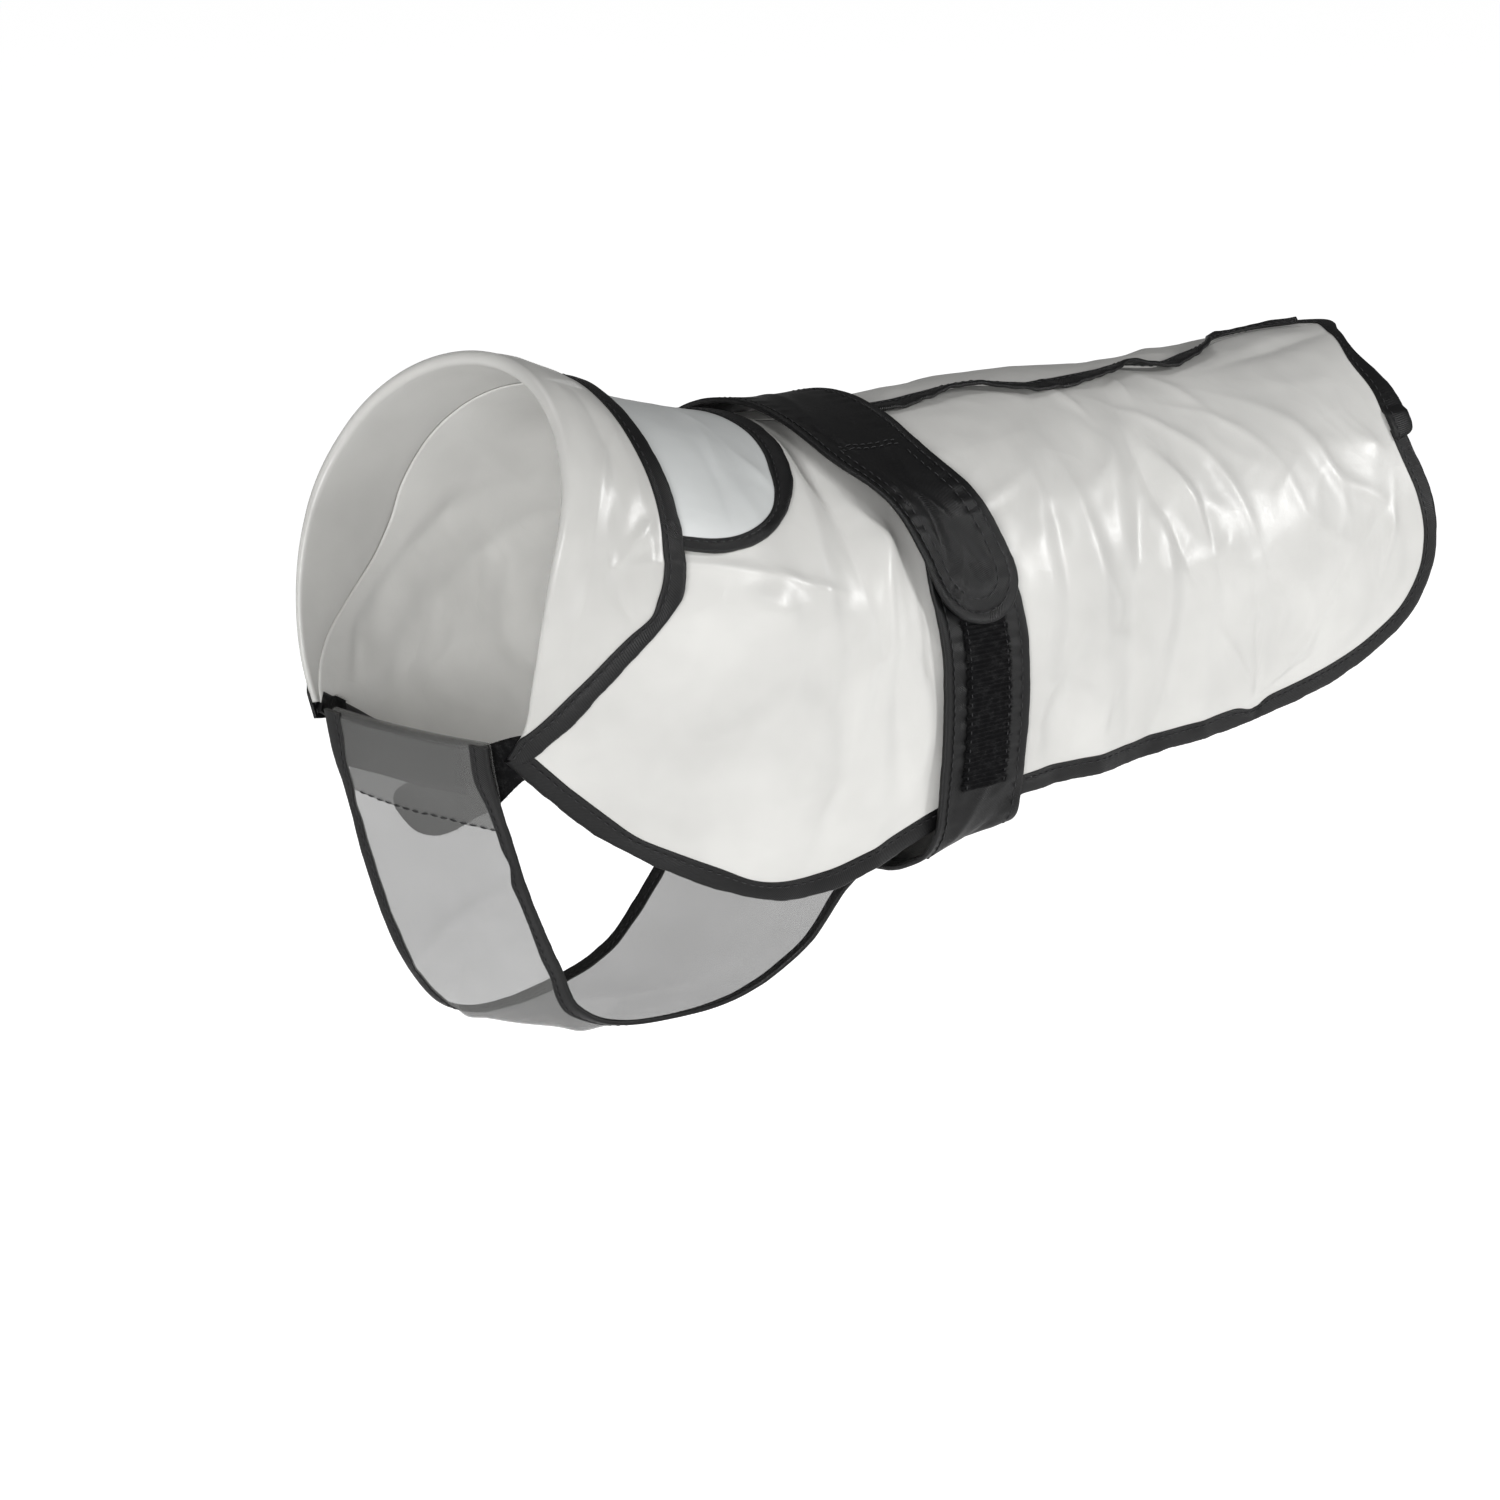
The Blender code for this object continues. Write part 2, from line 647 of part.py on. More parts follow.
def strap_lengths():
    """Length of the strap from its tip to the far flank, and from there to the near flank."""
    corner, flat, _ = belly_lengths()
    return STRAP_LEAVES - STRAP_TIP, 2 * (corner + flat)


def strap_middle(run):
    """Place round the body, share of the way under the belly, and the table's columns, `run` mm from the tip."""
    run = np.asarray(run, float)
    over, under = strap_lengths()
    share = np.clip((run - over) / under, 0, 1)
    past_belly = run - over - under - STRAP_LEAVES
    across = np.where(run < over, STRAP_TIP + run, np.where(share < 1, STRAP_LEAVES, past_belly))
    far, near = (read_table(STRAP, side * STRAP_LEAVES).reshape(-1, *[1] * run.ndim) for side in (1, -1))
    under_belly = (share > 0) & (share < 1)
    return across, share, np.where(under_belly, far + (near - far) * share, read_table(STRAP, across))


def strap_place(run, sideways, height):
    """Points of the strap: `run` mm from its tip, `sideways` towards the tail, `height` above its inner face."""
    run, sideways, height = np.broadcast_arrays(run, sideways, height)
    over, under = strap_lengths()
    across, share, (middle, width, lift, front) = strap_middle(run)
    edge = np.clip(-sideways / (width / 2), 0, 1)
    outer_layer = run < over
    rise = OVERLAP_RISE * ease((OVERLAP_NONE - across) / (OVERLAP_NONE - OVERLAP_FULL)) * outer_layer
    out = lift + front * edge**1.5 + rise + height
    along = middle + sideways
    on_coat = coat(along, across, out)
    y, z = belly_section(np.clip(run - over, 0, under), out - STRAP[0].lift)
    tilt = BELLY_TILT * ease(np.minimum(share, 1 - share) / BELLY_TILT_FADE)
    on_belly = np.stack([along, y, z + sideways * tilt], -1)
    for at, place, weight in ((0.0, STRAP_LEAVES, (1 - share) ** 2), (under, -STRAP_LEAVES, share**2)):
        y, z = belly_section(np.full(run.shape, at), out - STRAP[0].lift)
        step = coat(along, np.full(run.shape, place), out) - np.stack([along, y, z], -1)
        on_belly = on_belly + step * weight[..., None]
    return np.where(((share > 0) & (share < 1))[..., None], on_belly, on_coat)


def strap_runs():
    """Distances from the tip at which the strap is drawn past its rounded end."""
    over, under = strap_lengths()
    radius = float(strap_middle(0.0)[2][1]) / 2
    end = float(over + under + STRAP_LEAVES + STRAP_HIDDEN_END)
    return radius, np.linspace(radius, end, round((end - radius) / STRAP_STEP) + 1)


def make_strap():
    radius, runs = strap_runs()
    trim = STRAP_TAPE + GAP
    turns = np.radians((18, 45, 70))
    tip_runs = radius - (radius - trim) * np.cos(turns)
    tip_halves = (radius - trim) * np.sin(turns)
    halves = strap_middle(runs)[2][1] / 2 - trim
    run = np.concatenate([tip_runs, runs])[:, None]
    half = np.concatenate([tip_halves, halves])[:, None]
    sideways = half * np.array([-1, -0.1, 1])
    add_wall("belly_strap", strap_place(run, sideways, 0.0), strap_place(run, sideways, WEBBING), NYLON)


def make_strap_tape():
    """Binding of both long edges and the rounded tip, from the hidden end round and back to it."""
    radius, runs = strap_runs()
    halves = strap_middle(runs)[2][1] / 2
    turns = np.radians(np.linspace(-90, 90, 9))[1:-1]
    walls = []
    for trim in (0, STRAP_TAPE):
        front = np.stack([runs, trim - halves], -1)[::-1]
        tip = np.stack([radius - (radius - trim) * np.cos(turns), (radius - trim) * np.sin(turns)], -1)
        rear = np.stack([runs, halves - trim], -1)
        walls.append(np.concatenate([front, tip, rear]))
    grid = np.stack(walls, 1)
    faces = [
        strap_place(grid[..., 0], grid[..., 1], height)
        for height in (-STRAP_TAPE_PROUD, WEBBING + STRAP_TAPE_PROUD)
    ]
    add_wall("belly_strap_tape", *faces, NYLON)


def make_hook_tape():
    over, under = strap_lengths()
    ends = over + under + STRAP_LEAVES + np.array([HOOK_BOTTOM, HOOK_TOP])
    run = np.linspace(*ends, 8)[:, None]
    sideways = np.array([-0.5, 0.5]) * HOOK_WIDTH
    low = WEBBING + GAP
    faces = [strap_place(run, sideways, height) for height in (low, low + HOOK_WALL)]
    add_wall("hook_tape", *faces, HOOKS)


CHEST_ROWS = np.array(CHEST, float)
CHEST_PLACES = distances(CHEST_ROWS[:, :2])


def chest_form(down, share):
    """Points of the chest panel: mm down from its top fold, and -1 to 1 from its near edge to its far edge."""
    rows = smooth_rows(CHEST_PLACES, CHEST_ROWS, down)
    x, z, half, turn, tip, sag = np.moveaxis(rows, -1, 0)
    turn = np.radians(turn)
    chord = np.stack([x - half * share * np.sin(turn), half * share * np.cos(turn), z - tip * share / 2], -1)
    by_x, by_z = np.moveaxis(smooth_rows(CHEST_PLACES, CHEST_ROWS[:, :2], down + 1), -1, 0) - (x, z)
    square = unit(np.stack([by_z, np.zeros_like(by_z), -by_x], -1))
    return chord + square * (sag * (1 - share**2))[..., None]


def chest_place(down, share, out):
    """Points of the chest panel, moved out from the wearer by `out` mm."""
    down, share, out = np.broadcast_arrays(down, share, out)
    by_down = chest_form(down + 0.5, share) - chest_form(down - 0.5, share)
    by_share = chest_form(down, share + 0.01) - chest_form(down, share - 0.01)
    return chest_form(down, share) + unit(np.cross(by_share, by_down)) * out[..., None]


def front_runs():
    return np.linspace(0, CHEST_PLACES[-1], round(CHEST_PLACES[-1] / CHEST_STEP) + 1)


def chest_profile():
    """The panel's middle as (down, out): up the tunnel's back layer, over the top fold and down the front."""
    room = (TUNNEL_ROOM + FILM) / 2
    points = [(TUNNEL_DEPTH, -FILM - GAP), (TUNNEL_DEPTH * 0.86, -room * 1.1), (TUNNEL_DEPTH * 0.66, -room * 1.8)]
    points += [(TUNNEL_DEPTH * 0.38, -room * 2), (room, -room * 2)]
    for turn in np.radians((45, 90, 135)):
        points.append((room * (1 - np.sin(turn)), -room * (1 + np.cos(turn))))
    front = front_runs()
    points += [(down, 0.0) for down in front[front > room]]
    return np.array(points)


def make_chest_panel():
    halves = smooth_rows(CHEST_PLACES, CHEST_ROWS, chest_profile()[:, 0])[:, 2]
    shares = np.linspace(-1, 1, CHEST_COLUMNS) * (1 - (TAPE_WIDTH + GAP) / halves)[:, None]
    walls = []
    for face in two_faces(chest_profile(), FILM):
        walls.append(chest_place(face[:, :1], shares, face[:, 1:]))
    add_wall("chest_panel", *walls, PVC)


def make_chest_tapes():
    down = front_runs()
    halves = smooth_rows(CHEST_PLACES, CHEST_ROWS, down)[:, 2]
    for name, side in (("chest_tape_near", -1), ("chest_tape_far", 1)):
        shares = side * np.stack([np.ones(len(down)), 1 - TAPE_WIDTH / halves], 1)
        faces = [chest_place(down[:, None], shares, out) for out in (-TAPE / 2, TAPE / 2)]
        add_wall(name, *faces, NYLON)


def tab_edges(roots, stops):
    """Upper and lower edge of a tab at its roots on the coat and at its stops on the chest panel."""
    *edges, inside = np.array(roots, float).T
    on_coat = np.stack([coat(*edges[k : k + 2], -inside) for k in (0, 2)], 1)
    *edges, inside = np.array(stops, float).T
    on_chest = np.stack([chest_place(edges[k + 1], edges[k], -inside) for k in (0, 2)], 1)
    return on_coat, on_chest


def add_tab(name, edges):
    """A ribbon through its upper and lower edges."""
    knots = distances(edges.mean(axis=1))
    at = np.linspace(0, knots[-1], round(knots[-1] / TAB_STEP) + 1)
    top, bottom = np.split(smooth_rows(knots, edges.reshape(-1, 6), at), 2, axis=1)
    middle = np.stack([top, (top + bottom) / 2, bottom], 1)
    facing = unit(np.cross(np.gradient(middle, axis=0), bottom[:, None] - top[:, None])) * TAB_WALL / 2
    add_wall(name, middle - facing, middle + facing, NYLON)


def make_neck_tabs():
    on_coat, on_chest = tab_edges(NEAR_TAB_ROOTS, NEAR_TAB_STOPS)
    add_tab("neck_tab_near", np.concatenate([on_coat, on_chest]))
    on_coat, on_chest = tab_edges(FAR_TAB_ROOTS, FAR_TAB_STOPS)
    add_tab("neck_tab_far", np.concatenate([on_chest, on_coat]))


def clear_scene():
    for old in list(bpy.data.objects):
        bpy.data.objects.remove(old, do_unlink=True)


def main():
    clear_scene()
    make_back_panels()
    make_hem_tapes()
    make_seam_tape()
    make_collar()
    make_collar_tape()
    make_flap()
    make_flap_tape()
    make_strap()
    make_strap_tape()
    make_hook_tape()
    make_chest_panel()
    make_chest_tapes()
    make_neck_tabs()


main()
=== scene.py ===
"""Dog raincoat of frosted film with black nylon bindings, in its worn and hollow form.

Everything that lies on the coat is a patch of one worn surface, moved outwards along its normal. A place on
that surface is (along, across): mm along the back line from the origin and mm of cloth round the body from
it, the near side negative. A place on the chest panel is mm down from its top fold and a share from its near
edge, -1, to its far edge, 1.
"""

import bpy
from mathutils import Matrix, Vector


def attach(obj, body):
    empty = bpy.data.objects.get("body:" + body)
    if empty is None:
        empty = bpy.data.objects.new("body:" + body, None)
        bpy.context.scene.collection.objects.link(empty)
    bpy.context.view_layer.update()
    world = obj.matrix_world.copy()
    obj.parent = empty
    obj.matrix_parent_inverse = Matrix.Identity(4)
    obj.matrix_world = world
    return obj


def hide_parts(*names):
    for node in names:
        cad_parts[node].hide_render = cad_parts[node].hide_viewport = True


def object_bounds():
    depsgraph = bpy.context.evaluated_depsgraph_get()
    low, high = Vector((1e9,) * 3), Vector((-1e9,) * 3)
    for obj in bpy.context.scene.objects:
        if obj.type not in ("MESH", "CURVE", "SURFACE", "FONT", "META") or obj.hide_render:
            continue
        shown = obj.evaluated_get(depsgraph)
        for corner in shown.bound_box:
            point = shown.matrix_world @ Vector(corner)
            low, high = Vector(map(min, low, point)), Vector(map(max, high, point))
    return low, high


bl_info = {
    "name": "Dog raincoat",
    "version": (1, 0, 0),
    "blender": (4, 5, 0),
    "location": "View3D > Sidebar > Raincoat",
    "description": "Makes a frosted dog raincoat with bound edges round its packed frame",
    "category": "Add Mesh",
}

from collections import namedtuple
from math import cos, pi, radians, sin

import bpy
import numpy as np
from bpy.props import FloatProperty, FloatVectorProperty, PointerProperty
from mathutils import Matrix, Vector

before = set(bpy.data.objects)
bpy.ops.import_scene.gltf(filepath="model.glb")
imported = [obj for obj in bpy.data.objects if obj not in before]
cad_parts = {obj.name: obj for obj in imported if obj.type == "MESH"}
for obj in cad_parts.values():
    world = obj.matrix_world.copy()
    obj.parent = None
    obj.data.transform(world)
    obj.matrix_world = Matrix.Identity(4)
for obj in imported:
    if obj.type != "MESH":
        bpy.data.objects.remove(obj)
CAD_BOX = [list(corner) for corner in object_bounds()]
MM = 0.001

# Heights in mm over the coat's inner face, and the gap between neighbours
FILM = 1.2
WEBBING = 2.0
TAPE = 2.4
TAPE_WIDTH = 10.0
GAP = 0.3
TAPE_LOW = (FILM - TAPE) / 2

# The worn form: a ring of cloth at each place down the back. x and z of the top line in mm, lean and yaw of
# the ring's plane in degrees, radius over the back and at the side in mm, and how far the cloth below the
# side turns under on the near and on the far side, in degrees for each 100 mm.
Ring = namedtuple("Ring", "x z lean yaw crown side near far")
RINGS = (
    Ring(-206, 37, 12, 10, 76, 80, 52, 24),
    Ring(-170, 23, 11, 8, 88, 84, 38, 22),
    Ring(-128, 10, 7, 5, 98, 88, 16, 14),
    Ring(-82, 0, 3, 2, 100, 92, 8, 8),
    Ring(-35, -1, 1, 0, 100, 95, 8, 8),
    Ring(0, 0, 0, 0, 100, 95, 10, 10),
    Ring(90, 3, 0, 0, 98, 94, 12, 12),
    Ring(150, 0, 0, 0, 97, 93, 12, 12),
    Ring(200, 2, 0, 0, 96, 92, 12, 12),
    Ring(250, 5, 1, 0, 94, 90, 14, 14),
    Ring(300, 7, 2, 0, 91, 88, 18, 18),
)
ORIGIN_RING = 5
CROWN_TURN = radians(50)

# Largest folds: middle, heading in degrees from the back line, half length, half width and height in mm
Fold = namedtuple("Fold", "along across heading length width height")
FOLDS = (
    Fold(-66, -118, 84, 48, 15, 6),
    Fold(-122, -124, 8, 42, 14, 3),
    Fold(38, -120, 80, 60, 20, 2.5),
    Fold(112, -104, 96, 52, 18, -2.5),
    Fold(186, -110, 72, 50, 20, 2.5),
    Fold(-70, 112, 96, 52, 18, 4),
    Fold(62, 116, 84, 58, 20, 3),
    Fold(170, 108, 100, 54, 20, -2.5),
)

# Creases of the film, the same columns and how far the middle of a crease bows sideways
Crease = namedtuple("Crease", "along across heading length width height bow")
COAT_CREASES = (
    Crease(-69, -56, 80, 42, 8, -6.2, 6),
    Crease(-86, -66, 77, 58, 11, 3.4, 4),
    Crease(-61, -100, 62, 20, 8, 3.0, 0),
    Crease(-77, -130, 95, 34, 6, -2.2, -3),
    Crease(-92, -122, 88, 44, 9, 1.3, 4),
    Crease(-61, -150, 93, 32, 5, -2.0, 2),
    Crease(-50, -140, 90, 26, 5, 1.4, 0),
    Crease(-146, -113, -1, 42, 3.2, 1.1, 3),
    Crease(-106, -113, -14, 15, 3.0, 1.0, -2),
    Crease(-126, -142, 40, 34, 10, -1.3, 5),
    Crease(-104, -168, 70, 40, 9, 1.4, -5),
    Crease(-150, -190, 34, 36, 9, 1.4, 4),
    Crease(-84, -206, 66, 30, 7, -1.3, 3),
    Crease(117, -98, 112, 20, 6.5, 4.0, 0),
    Crease(104, -101, 100, 25, 5.5, -2.8, 2),
    Crease(128, -118, 98, 24, 5, -2.2, 0),
    Crease(134, -84, 121, 36, 5, 1.8, -6),
    Crease(166, -76, 127, 26, 5, 1.5, -5),
    Crease(197, -82, 121, 34, 6, 1.4, -6),
    Crease(82, -142, 80, 46, 9, -3.4, 4),
    Crease(100, -140, 83, 40, 8, 2.4, 3),
    Crease(36, -134, 88, 48, 9, -3.0, 0),
    Crease(55, -128, 93, 44, 8, 2.4, 0),
    Crease(66, -176, 78, 30, 8, -1.2, 2),
    Crease(22, -168, 86, 30, 7, 1.2, 2),
    Crease(144, -183, 127, 21, 2.6, 1.5, 0),
    Crease(154, -176, 96, 26, 2.6, -1.5, 0),
    Crease(186, -176, 41, 34, 3.6, 1.4, -3),
    Crease(178, -192, 20, 24, 3, -1.0, 0),
    Crease(214, -150, 48, 30, 5, -1.2, 3),
    Crease(64, -196, 84, 34, 12, 3.0, 5),
    Crease(96, -188, 74, 38, 11, -2.6, -4),
    Crease(124, -184, 92, 30, 10, 2.2, 4),
    Crease(32, -190, 88, 30, 12, -2.4, 4),
    Crease(-112, -206, 96, 40, 13, 2.8, 5),
    Crease(-88, -190, 88, 44, 10, -3.0, -5),
    Crease(-66, -206, 92, 34, 9, 2.4, 3),
    Crease(244, -136, 75, 16, 3.4, 1.6, 0),
    Crease(62, -42, 64, 18, 5, -1.3, 0),
    Crease(83, -36, 100, 14, 3.6, 1.4, 0),
    Crease(110, -42, 70, 19, 5, -1.3, 0),
    Crease(122, -32, 74, 12, 3.6, 1.5, 0),
    Crease(151, -38, 110, 17, 5, 1.2, 0),
    Crease(234, -20, 8, 32, 7, -1.8, 0),
    Crease(20, -74, 70, 30, 9, 1.2, 4),
    Crease(200, 40, 66, 26, 7, 1.3, 3),
    Crease(128, 54, 104, 30, 6, -1.6, -3),
    Crease(60, 70, 80, 34, 7, 1.4, 4),
    Crease(24, 96, 88, 40, 7, -1.8, 0),
    Crease(96, 118, 96, 38, 6, 1.8, -4),
    Crease(150, 130, 74, 30, 6, -1.5, 3),
    Crease(206, 112, 112, 30, 6, 1.5, 4),
    Crease(236, 66, 88, 24, 6, -1.3, 0),
    Crease(40, 156, 82, 28, 5, 1.4, 0),
    Crease(132, 166, 60, 26, 4, 1.3, 0),
    Crease(-66, 84, 96, 34, 6, -1.9, -5),
    Crease(-84, 130, 86, 38, 6, 1.8, 3),
    Crease(-120, 96, 24, 34, 7, -1.4, 3),
    Crease(-142, 150, 132, 34, 8, 1.6, 4),
    Crease(-104, 186, 104, 30, 6, -1.5, 0),
    Crease(-160, 190, 148, 28, 7, 1.3, 0),
)

# Fine crumpling of the worn film: heading in degrees, from one ridge to the next in mm, height in mm,
# how far the ridges wander sideways as a share of that, and a phase
Crumple = namedtuple("Crumple", "heading spacing height wander phase")
CRUMPLES = (
    Crumple(84, 58, 2.4, 0.9, 0.4),
    Crumple(58, 44, 1.5, 1.1, 2.2),
    Crumple(116, 37, 1.2, 1.0, 4.1),
    Crumple(14, 49, 0.9, 0.8, 1.3),
    Crumple(78, 21, 0.45, 1.2, 5.0),
)

# Outline of each back panel from the neck to the tail: along, and mm of cloth down from the back line
Edge = namedtuple("Edge", "along drop")
NEAR_EDGE = (
    Edge(-208, 213),
    Edge(-188, 226),
    Edge(-166, 239),
    Edge(-137, 250),
    Edge(-102, 254),
    Edge(-52, 236),
    Edge(-24, 227),
    Edge(12, 224),
    Edge(80, 223),
    Edge(143, 214),
    Edge(211, 203),
    Edge(240, 194),
    Edge(264, 180),
    Edge(277, 160),
    Edge(279, 140),
    Edge(275, 119),
    Edge(269, 98),
    Edge(268, 70),
    Edge(269, 44),
    Edge(281, 16),
    Edge(290, 0),
)
FAR_EDGE = (
    Edge(-219, 206),
    Edge(-196, 215),
    Edge(-170, 226),
    Edge(-137, 235),
    Edge(-102, 234),
    Edge(-52, 214),
    Edge(-24, 206),
    Edge(12, 198.5),
    Edge(61, 193),
    Edge(149, 188),
    Edge(211, 186),
    Edge(240, 181),
    Edge(264, 170),
    Edge(277, 151),
    Edge(279, 132),
    Edge(275, 114),
    Edge(269, 95),
    Edge(268, 68),
    Edge(269, 43),
    Edge(281, 16),
    Edge(290, 0),
)
REAR_CORNER = 12
PANEL_ROWS = 290
PANEL_COLUMNS = 145
HEM_CLEAR = 11.5
HEM_FADE = 16.0
# Where the hem's binding is drawn in: the place, how much of its width goes, and over how far in mm
Pinch = namedtuple("Pinch", "along across share length")
HEM_PINCHES = (
    Pinch(157, -212, 0.35, 7),
    Pinch(270, -26, 0.5, 26),
    Pinch(269, -62, 0.25, 14),
    Pinch(-118, -252, 0.18, 11),
    Pinch(-160, -241, 0.14, 10),
    Pinch(70, 193, 0.35, 8),
    Pinch(-120, 236, 0.3, 9),
    Pinch(222, 185, 0.3, 8),
)
LAP_END = -92.4
LAP_PROUD = 6.0
LAP_FADES = (-62.0, -30.0)
LAP_ROUND = 7.0
LAP_ROWS = 20
LAP_LIFT = 1.6

# Centre-back seam: its place, and how far the bound ridge on it has flopped from upright, in degrees
Seam = namedtuple("Seam", "along across flop")
SEAM = (
    Seam(-212, 0, 90),
    Seam(-100, -6, 90),
    Seam(-34, -10, 91),
    Seam(-5, -13, 89),
    Seam(17, -11, 81),
    Seam(47, -10, 74),
    Seam(69, -21, 86),
    Seam(98, -20, 86),
    Seam(121, -15, 78),
    Seam(142, -9, 62),
    Seam(159, -14, 80),
    Seam(180, -9, 76),
    Seam(199, -4, 52),
    Seam(212, 3, -22),
    Seam(226, 7, -76),
    Seam(245, 7, -80),
    Seam(264, 2, -56),
    Seam(291, 0, 0),
)
RIDGE_START = -34.0
RIDGE_END = 270.0
RIDGE_HEIGHT = 10.5
RIDGE_CROSSES = 196.0
RIDGE_CROSS_FADE = 12.0
RIDGE_NARROWS = 0.62

# Fold line of the collar round the neck
Neck = namedtuple("Neck", "across along")
NECK = (
    Neck(-212, -208),
    Neck(-191, -211),
    Neck(-167, -218),
    Neck(-140, -224),
    Neck(-119, -226),
    Neck(-80, -222),
    Neck(0, -214),
    Neck(80, -222),
    Neck(140, -230),
    Neck(180, -227),
    Neck(208, -219),
)

# Collar by mm round from the back: from its seam up to the fold line, from there down to its bound edge, and
# how high the turned-down part lies above the panel's inner face
Collar = namedtuple("Collar", "across stand fall rise")
COLLAR = (
    Collar(0, 33, 47, 5.8),
    Collar(31, 36, 44, 5.8),
    Collar(56, 38, 47, 5.8),
    Collar(80, 40, 52, 5.7),
    Collar(103, 43, 56, 5.4),
    Collar(121, 46, 57, 4.4),
    Collar(137, 42, 48, 3.6),
    Collar(153, 31, 36, 3.0),
    Collar(172, 16, 23, 2.7),
    Collar(192, 6, 12, 2.6),
    Collar(208, 2, 6, 2.6),
)
COLLAR_TAPE_END = 208.0
COLLAR_FILM_END = 201.0
# Creases of the turned-down part: mm down from the fold line, and mm round from the back
COLLAR_CREASES = (
    Crease(20, -84, 74, 22, 4, 1.4, 4),
    Crease(34, -104, 52, 14, 3, 1.6, 0),
    Crease(30, -122, 118, 18, 3, -1.4, 3),
    Crease(42, -112, 90, 20, 3, 1.0, 0),
    Crease(22, -60, 96, 18, 5, -1.2, 0),
    Crease(36, -40, 70, 16, 4, 1.0, 0),
    Crease(14, -136, 84, 16, 4, 1.2, 0),
    Crease(26, 30, 80, 18, 4, 1.2, 0),
    Crease(32, 78, 104, 22, 4, 1.4, -3),
    Crease(24, 112, 70, 20, 4, -1.3, 0),
    Crease(16, 140, 92, 16, 4, 1.2, 0),
)

# Flap over the shoulders: a rounded oblong from the collar's seam
FLAP_ROOT = -179.0
FLAP_SHOULDER = -160.0
FLAP_LENGTH = 77.0
FLAP_HALF_WIDTH = 99.0
FLAP_MIDDLE = -6.0
FLAP_ROUNDNESS = 2.2
FLAP_LOW = 1.9
FLAP_COVER = 0.86
FLAP_TAPE_POINTS = 300
FLAP_CREASES = (
    Crease(-128, -44, 70, 14, 5, 1.0, 0),
    Crease(-112, -62, 110, 10, 4, 1.1, 0),
    Crease(-138, -70, 84, 16, 5, -0.8, 0),
    Crease(-120, -20, 96, 18, 6, 0.8, 0),
    Crease(-126, 30, 80, 18, 6, 1.0, 0),
    Crease(-134, 64, 100, 14, 5, -0.8, 0),
)

# Belly strap: its middle, width and stand-off from the coat, and how much more its front edge stands off,
# by mm round from the back line. Under the belly its rear edge rises: mm for each mm, fully so after a
# share of the way.
Strap = namedtuple("Strap", "across along width lift front")
STRAP = (
    Strap(-226, -14, 46, 2.8, 1.5),
    Strap(-170, -13.5, 46, 2.6, 0.5),
    Strap(-136, -17, 47, 2.8, 1),
    Strap(-110, -23, 48, 3.0, 2.5),
    Strap(-84, -31, 52, 3.4, 3),
    Strap(-61, -41, 56, 4.2, 3),
    Strap(-25, -46, 57, 5.0, 2),
    Strap(10, -46, 55, 5.0, 1.5),
    Strap(60, -44, 52, 4.4, 3),
    Strap(110, -39, 48, 3.6, 3),
    Strap(170, -31, 46, 2.8, 1),
    Strap(226, -22, 46, 2.8, 1.5),
)
STRAP_LEAVES = 224.5
BELLY_CORNER_RADIUS = 17.0
BELLY_CORNER_TURN = radians(168)
BELLY_ALONG = -18.0
BELLY_TILT = 0.42
BELLY_TILT_FADE = 0.2
STRAP_TIP = -138.0
STRAP_HIDDEN_END = -92.0
HIDDEN_NARROWS = -126.0
PATCH_INSET = 10.5
PATCH_LENGTH = 86.0
STRAP_TAPE = 6.5
OVERLAP_RISE = 4.2
OVERLAP_FULL = -92.0
OVERLAP_NONE = -50.0
HOOK_TOP = -127.0
HOOK_BOTTOM = -212.0
HOOK_WIDTH = 23.0
HOOK_ROWS = 420
HOOK_COLUMNS = 22
RIB_PITCH = 2.1
RIB_HEIGHT = 0.45
HOOK_FIBRES = 900
# Creases of the strap: mm round from the back on its outer layer, and mm towards the tail from its middle
UPPER_CREASES = (
    Crease(-98, -9, 14, 24, 2.6, -1.4, 2),
    Crease(-84, -2, -24, 14, 2.4, 1.2, 0),
    Crease(-70, -12, 10, 22, 3.0, 1.2, 0),
    Crease(-46, -14, -12, 22, 3.4, -1.2, 0),
    Crease(-116, -6, 30, 12, 2.2, 1.2, 0),
    Crease(-108, 4, -16, 12, 2.2, -0.9, 0),
    Crease(-60, 8, 24, 16, 3.2, 0.9, 0),
    Crease(0, -4, 14, 24, 4.0, 1.0, 0),
    Crease(60, 6, -14, 24, 4.0, -1.0, 0),
    Crease(120, -6, 16, 24, 4.0, 1.2, 0),
    Crease(180, 4, -10, 26, 4.0, -1.2, 0),
)
# Creases of the lower layer, mm round from the back on the near side
LOWER_CREASES = (
    Crease(-224, -6, 34, 22, 4.0, 1.5, 0),
    Crease(-232, 8, 42, 20, 4.0, -1.4, 0),
    Crease(-214, 12, 58, 12, 3.0, 1.0, 0),
    Crease(-216, -15, 12, 14, 2.6, -0.8, 0),
)

# Chest panel from its top fold to the belly strap: middle of the chord between its edges, half width, turn
# of its face towards the near side in degrees, how much lower the far edge hangs, and sag between the edges
Chest = namedtuple("Chest", "x z half turn tip sag")
CHEST = (
    Chest(-249.5, -113, 48, 15, 0, 3),
    Chest(-246.5, -131, 47, 16, 0, 3),
    Chest(-240.5, -150, 45.5, 18, 0, 3),
    Chest(-229, -190, 44, 22, 2, 4),
    Chest(-213, -229, 41.5, 27, 4, 5),
    Chest(-201, -248, 38, 24, 10, 6),
    Chest(-185, -256.5, 38.5, 21, 9, 5),
    Chest(-150, -258, 42, 13, 6, 6),
    Chest(-112, -250, 49, 6, 2, 6),
    Chest(-82, -228, 60, 2, 0, 6),
    Chest(-61, -202.5, 65, 0, 0, 6),
    Chest(-49, -194.0, 66, 0, 0, 6),
    Chest(-28, -187.0, 66, 0, 0, 6),
)
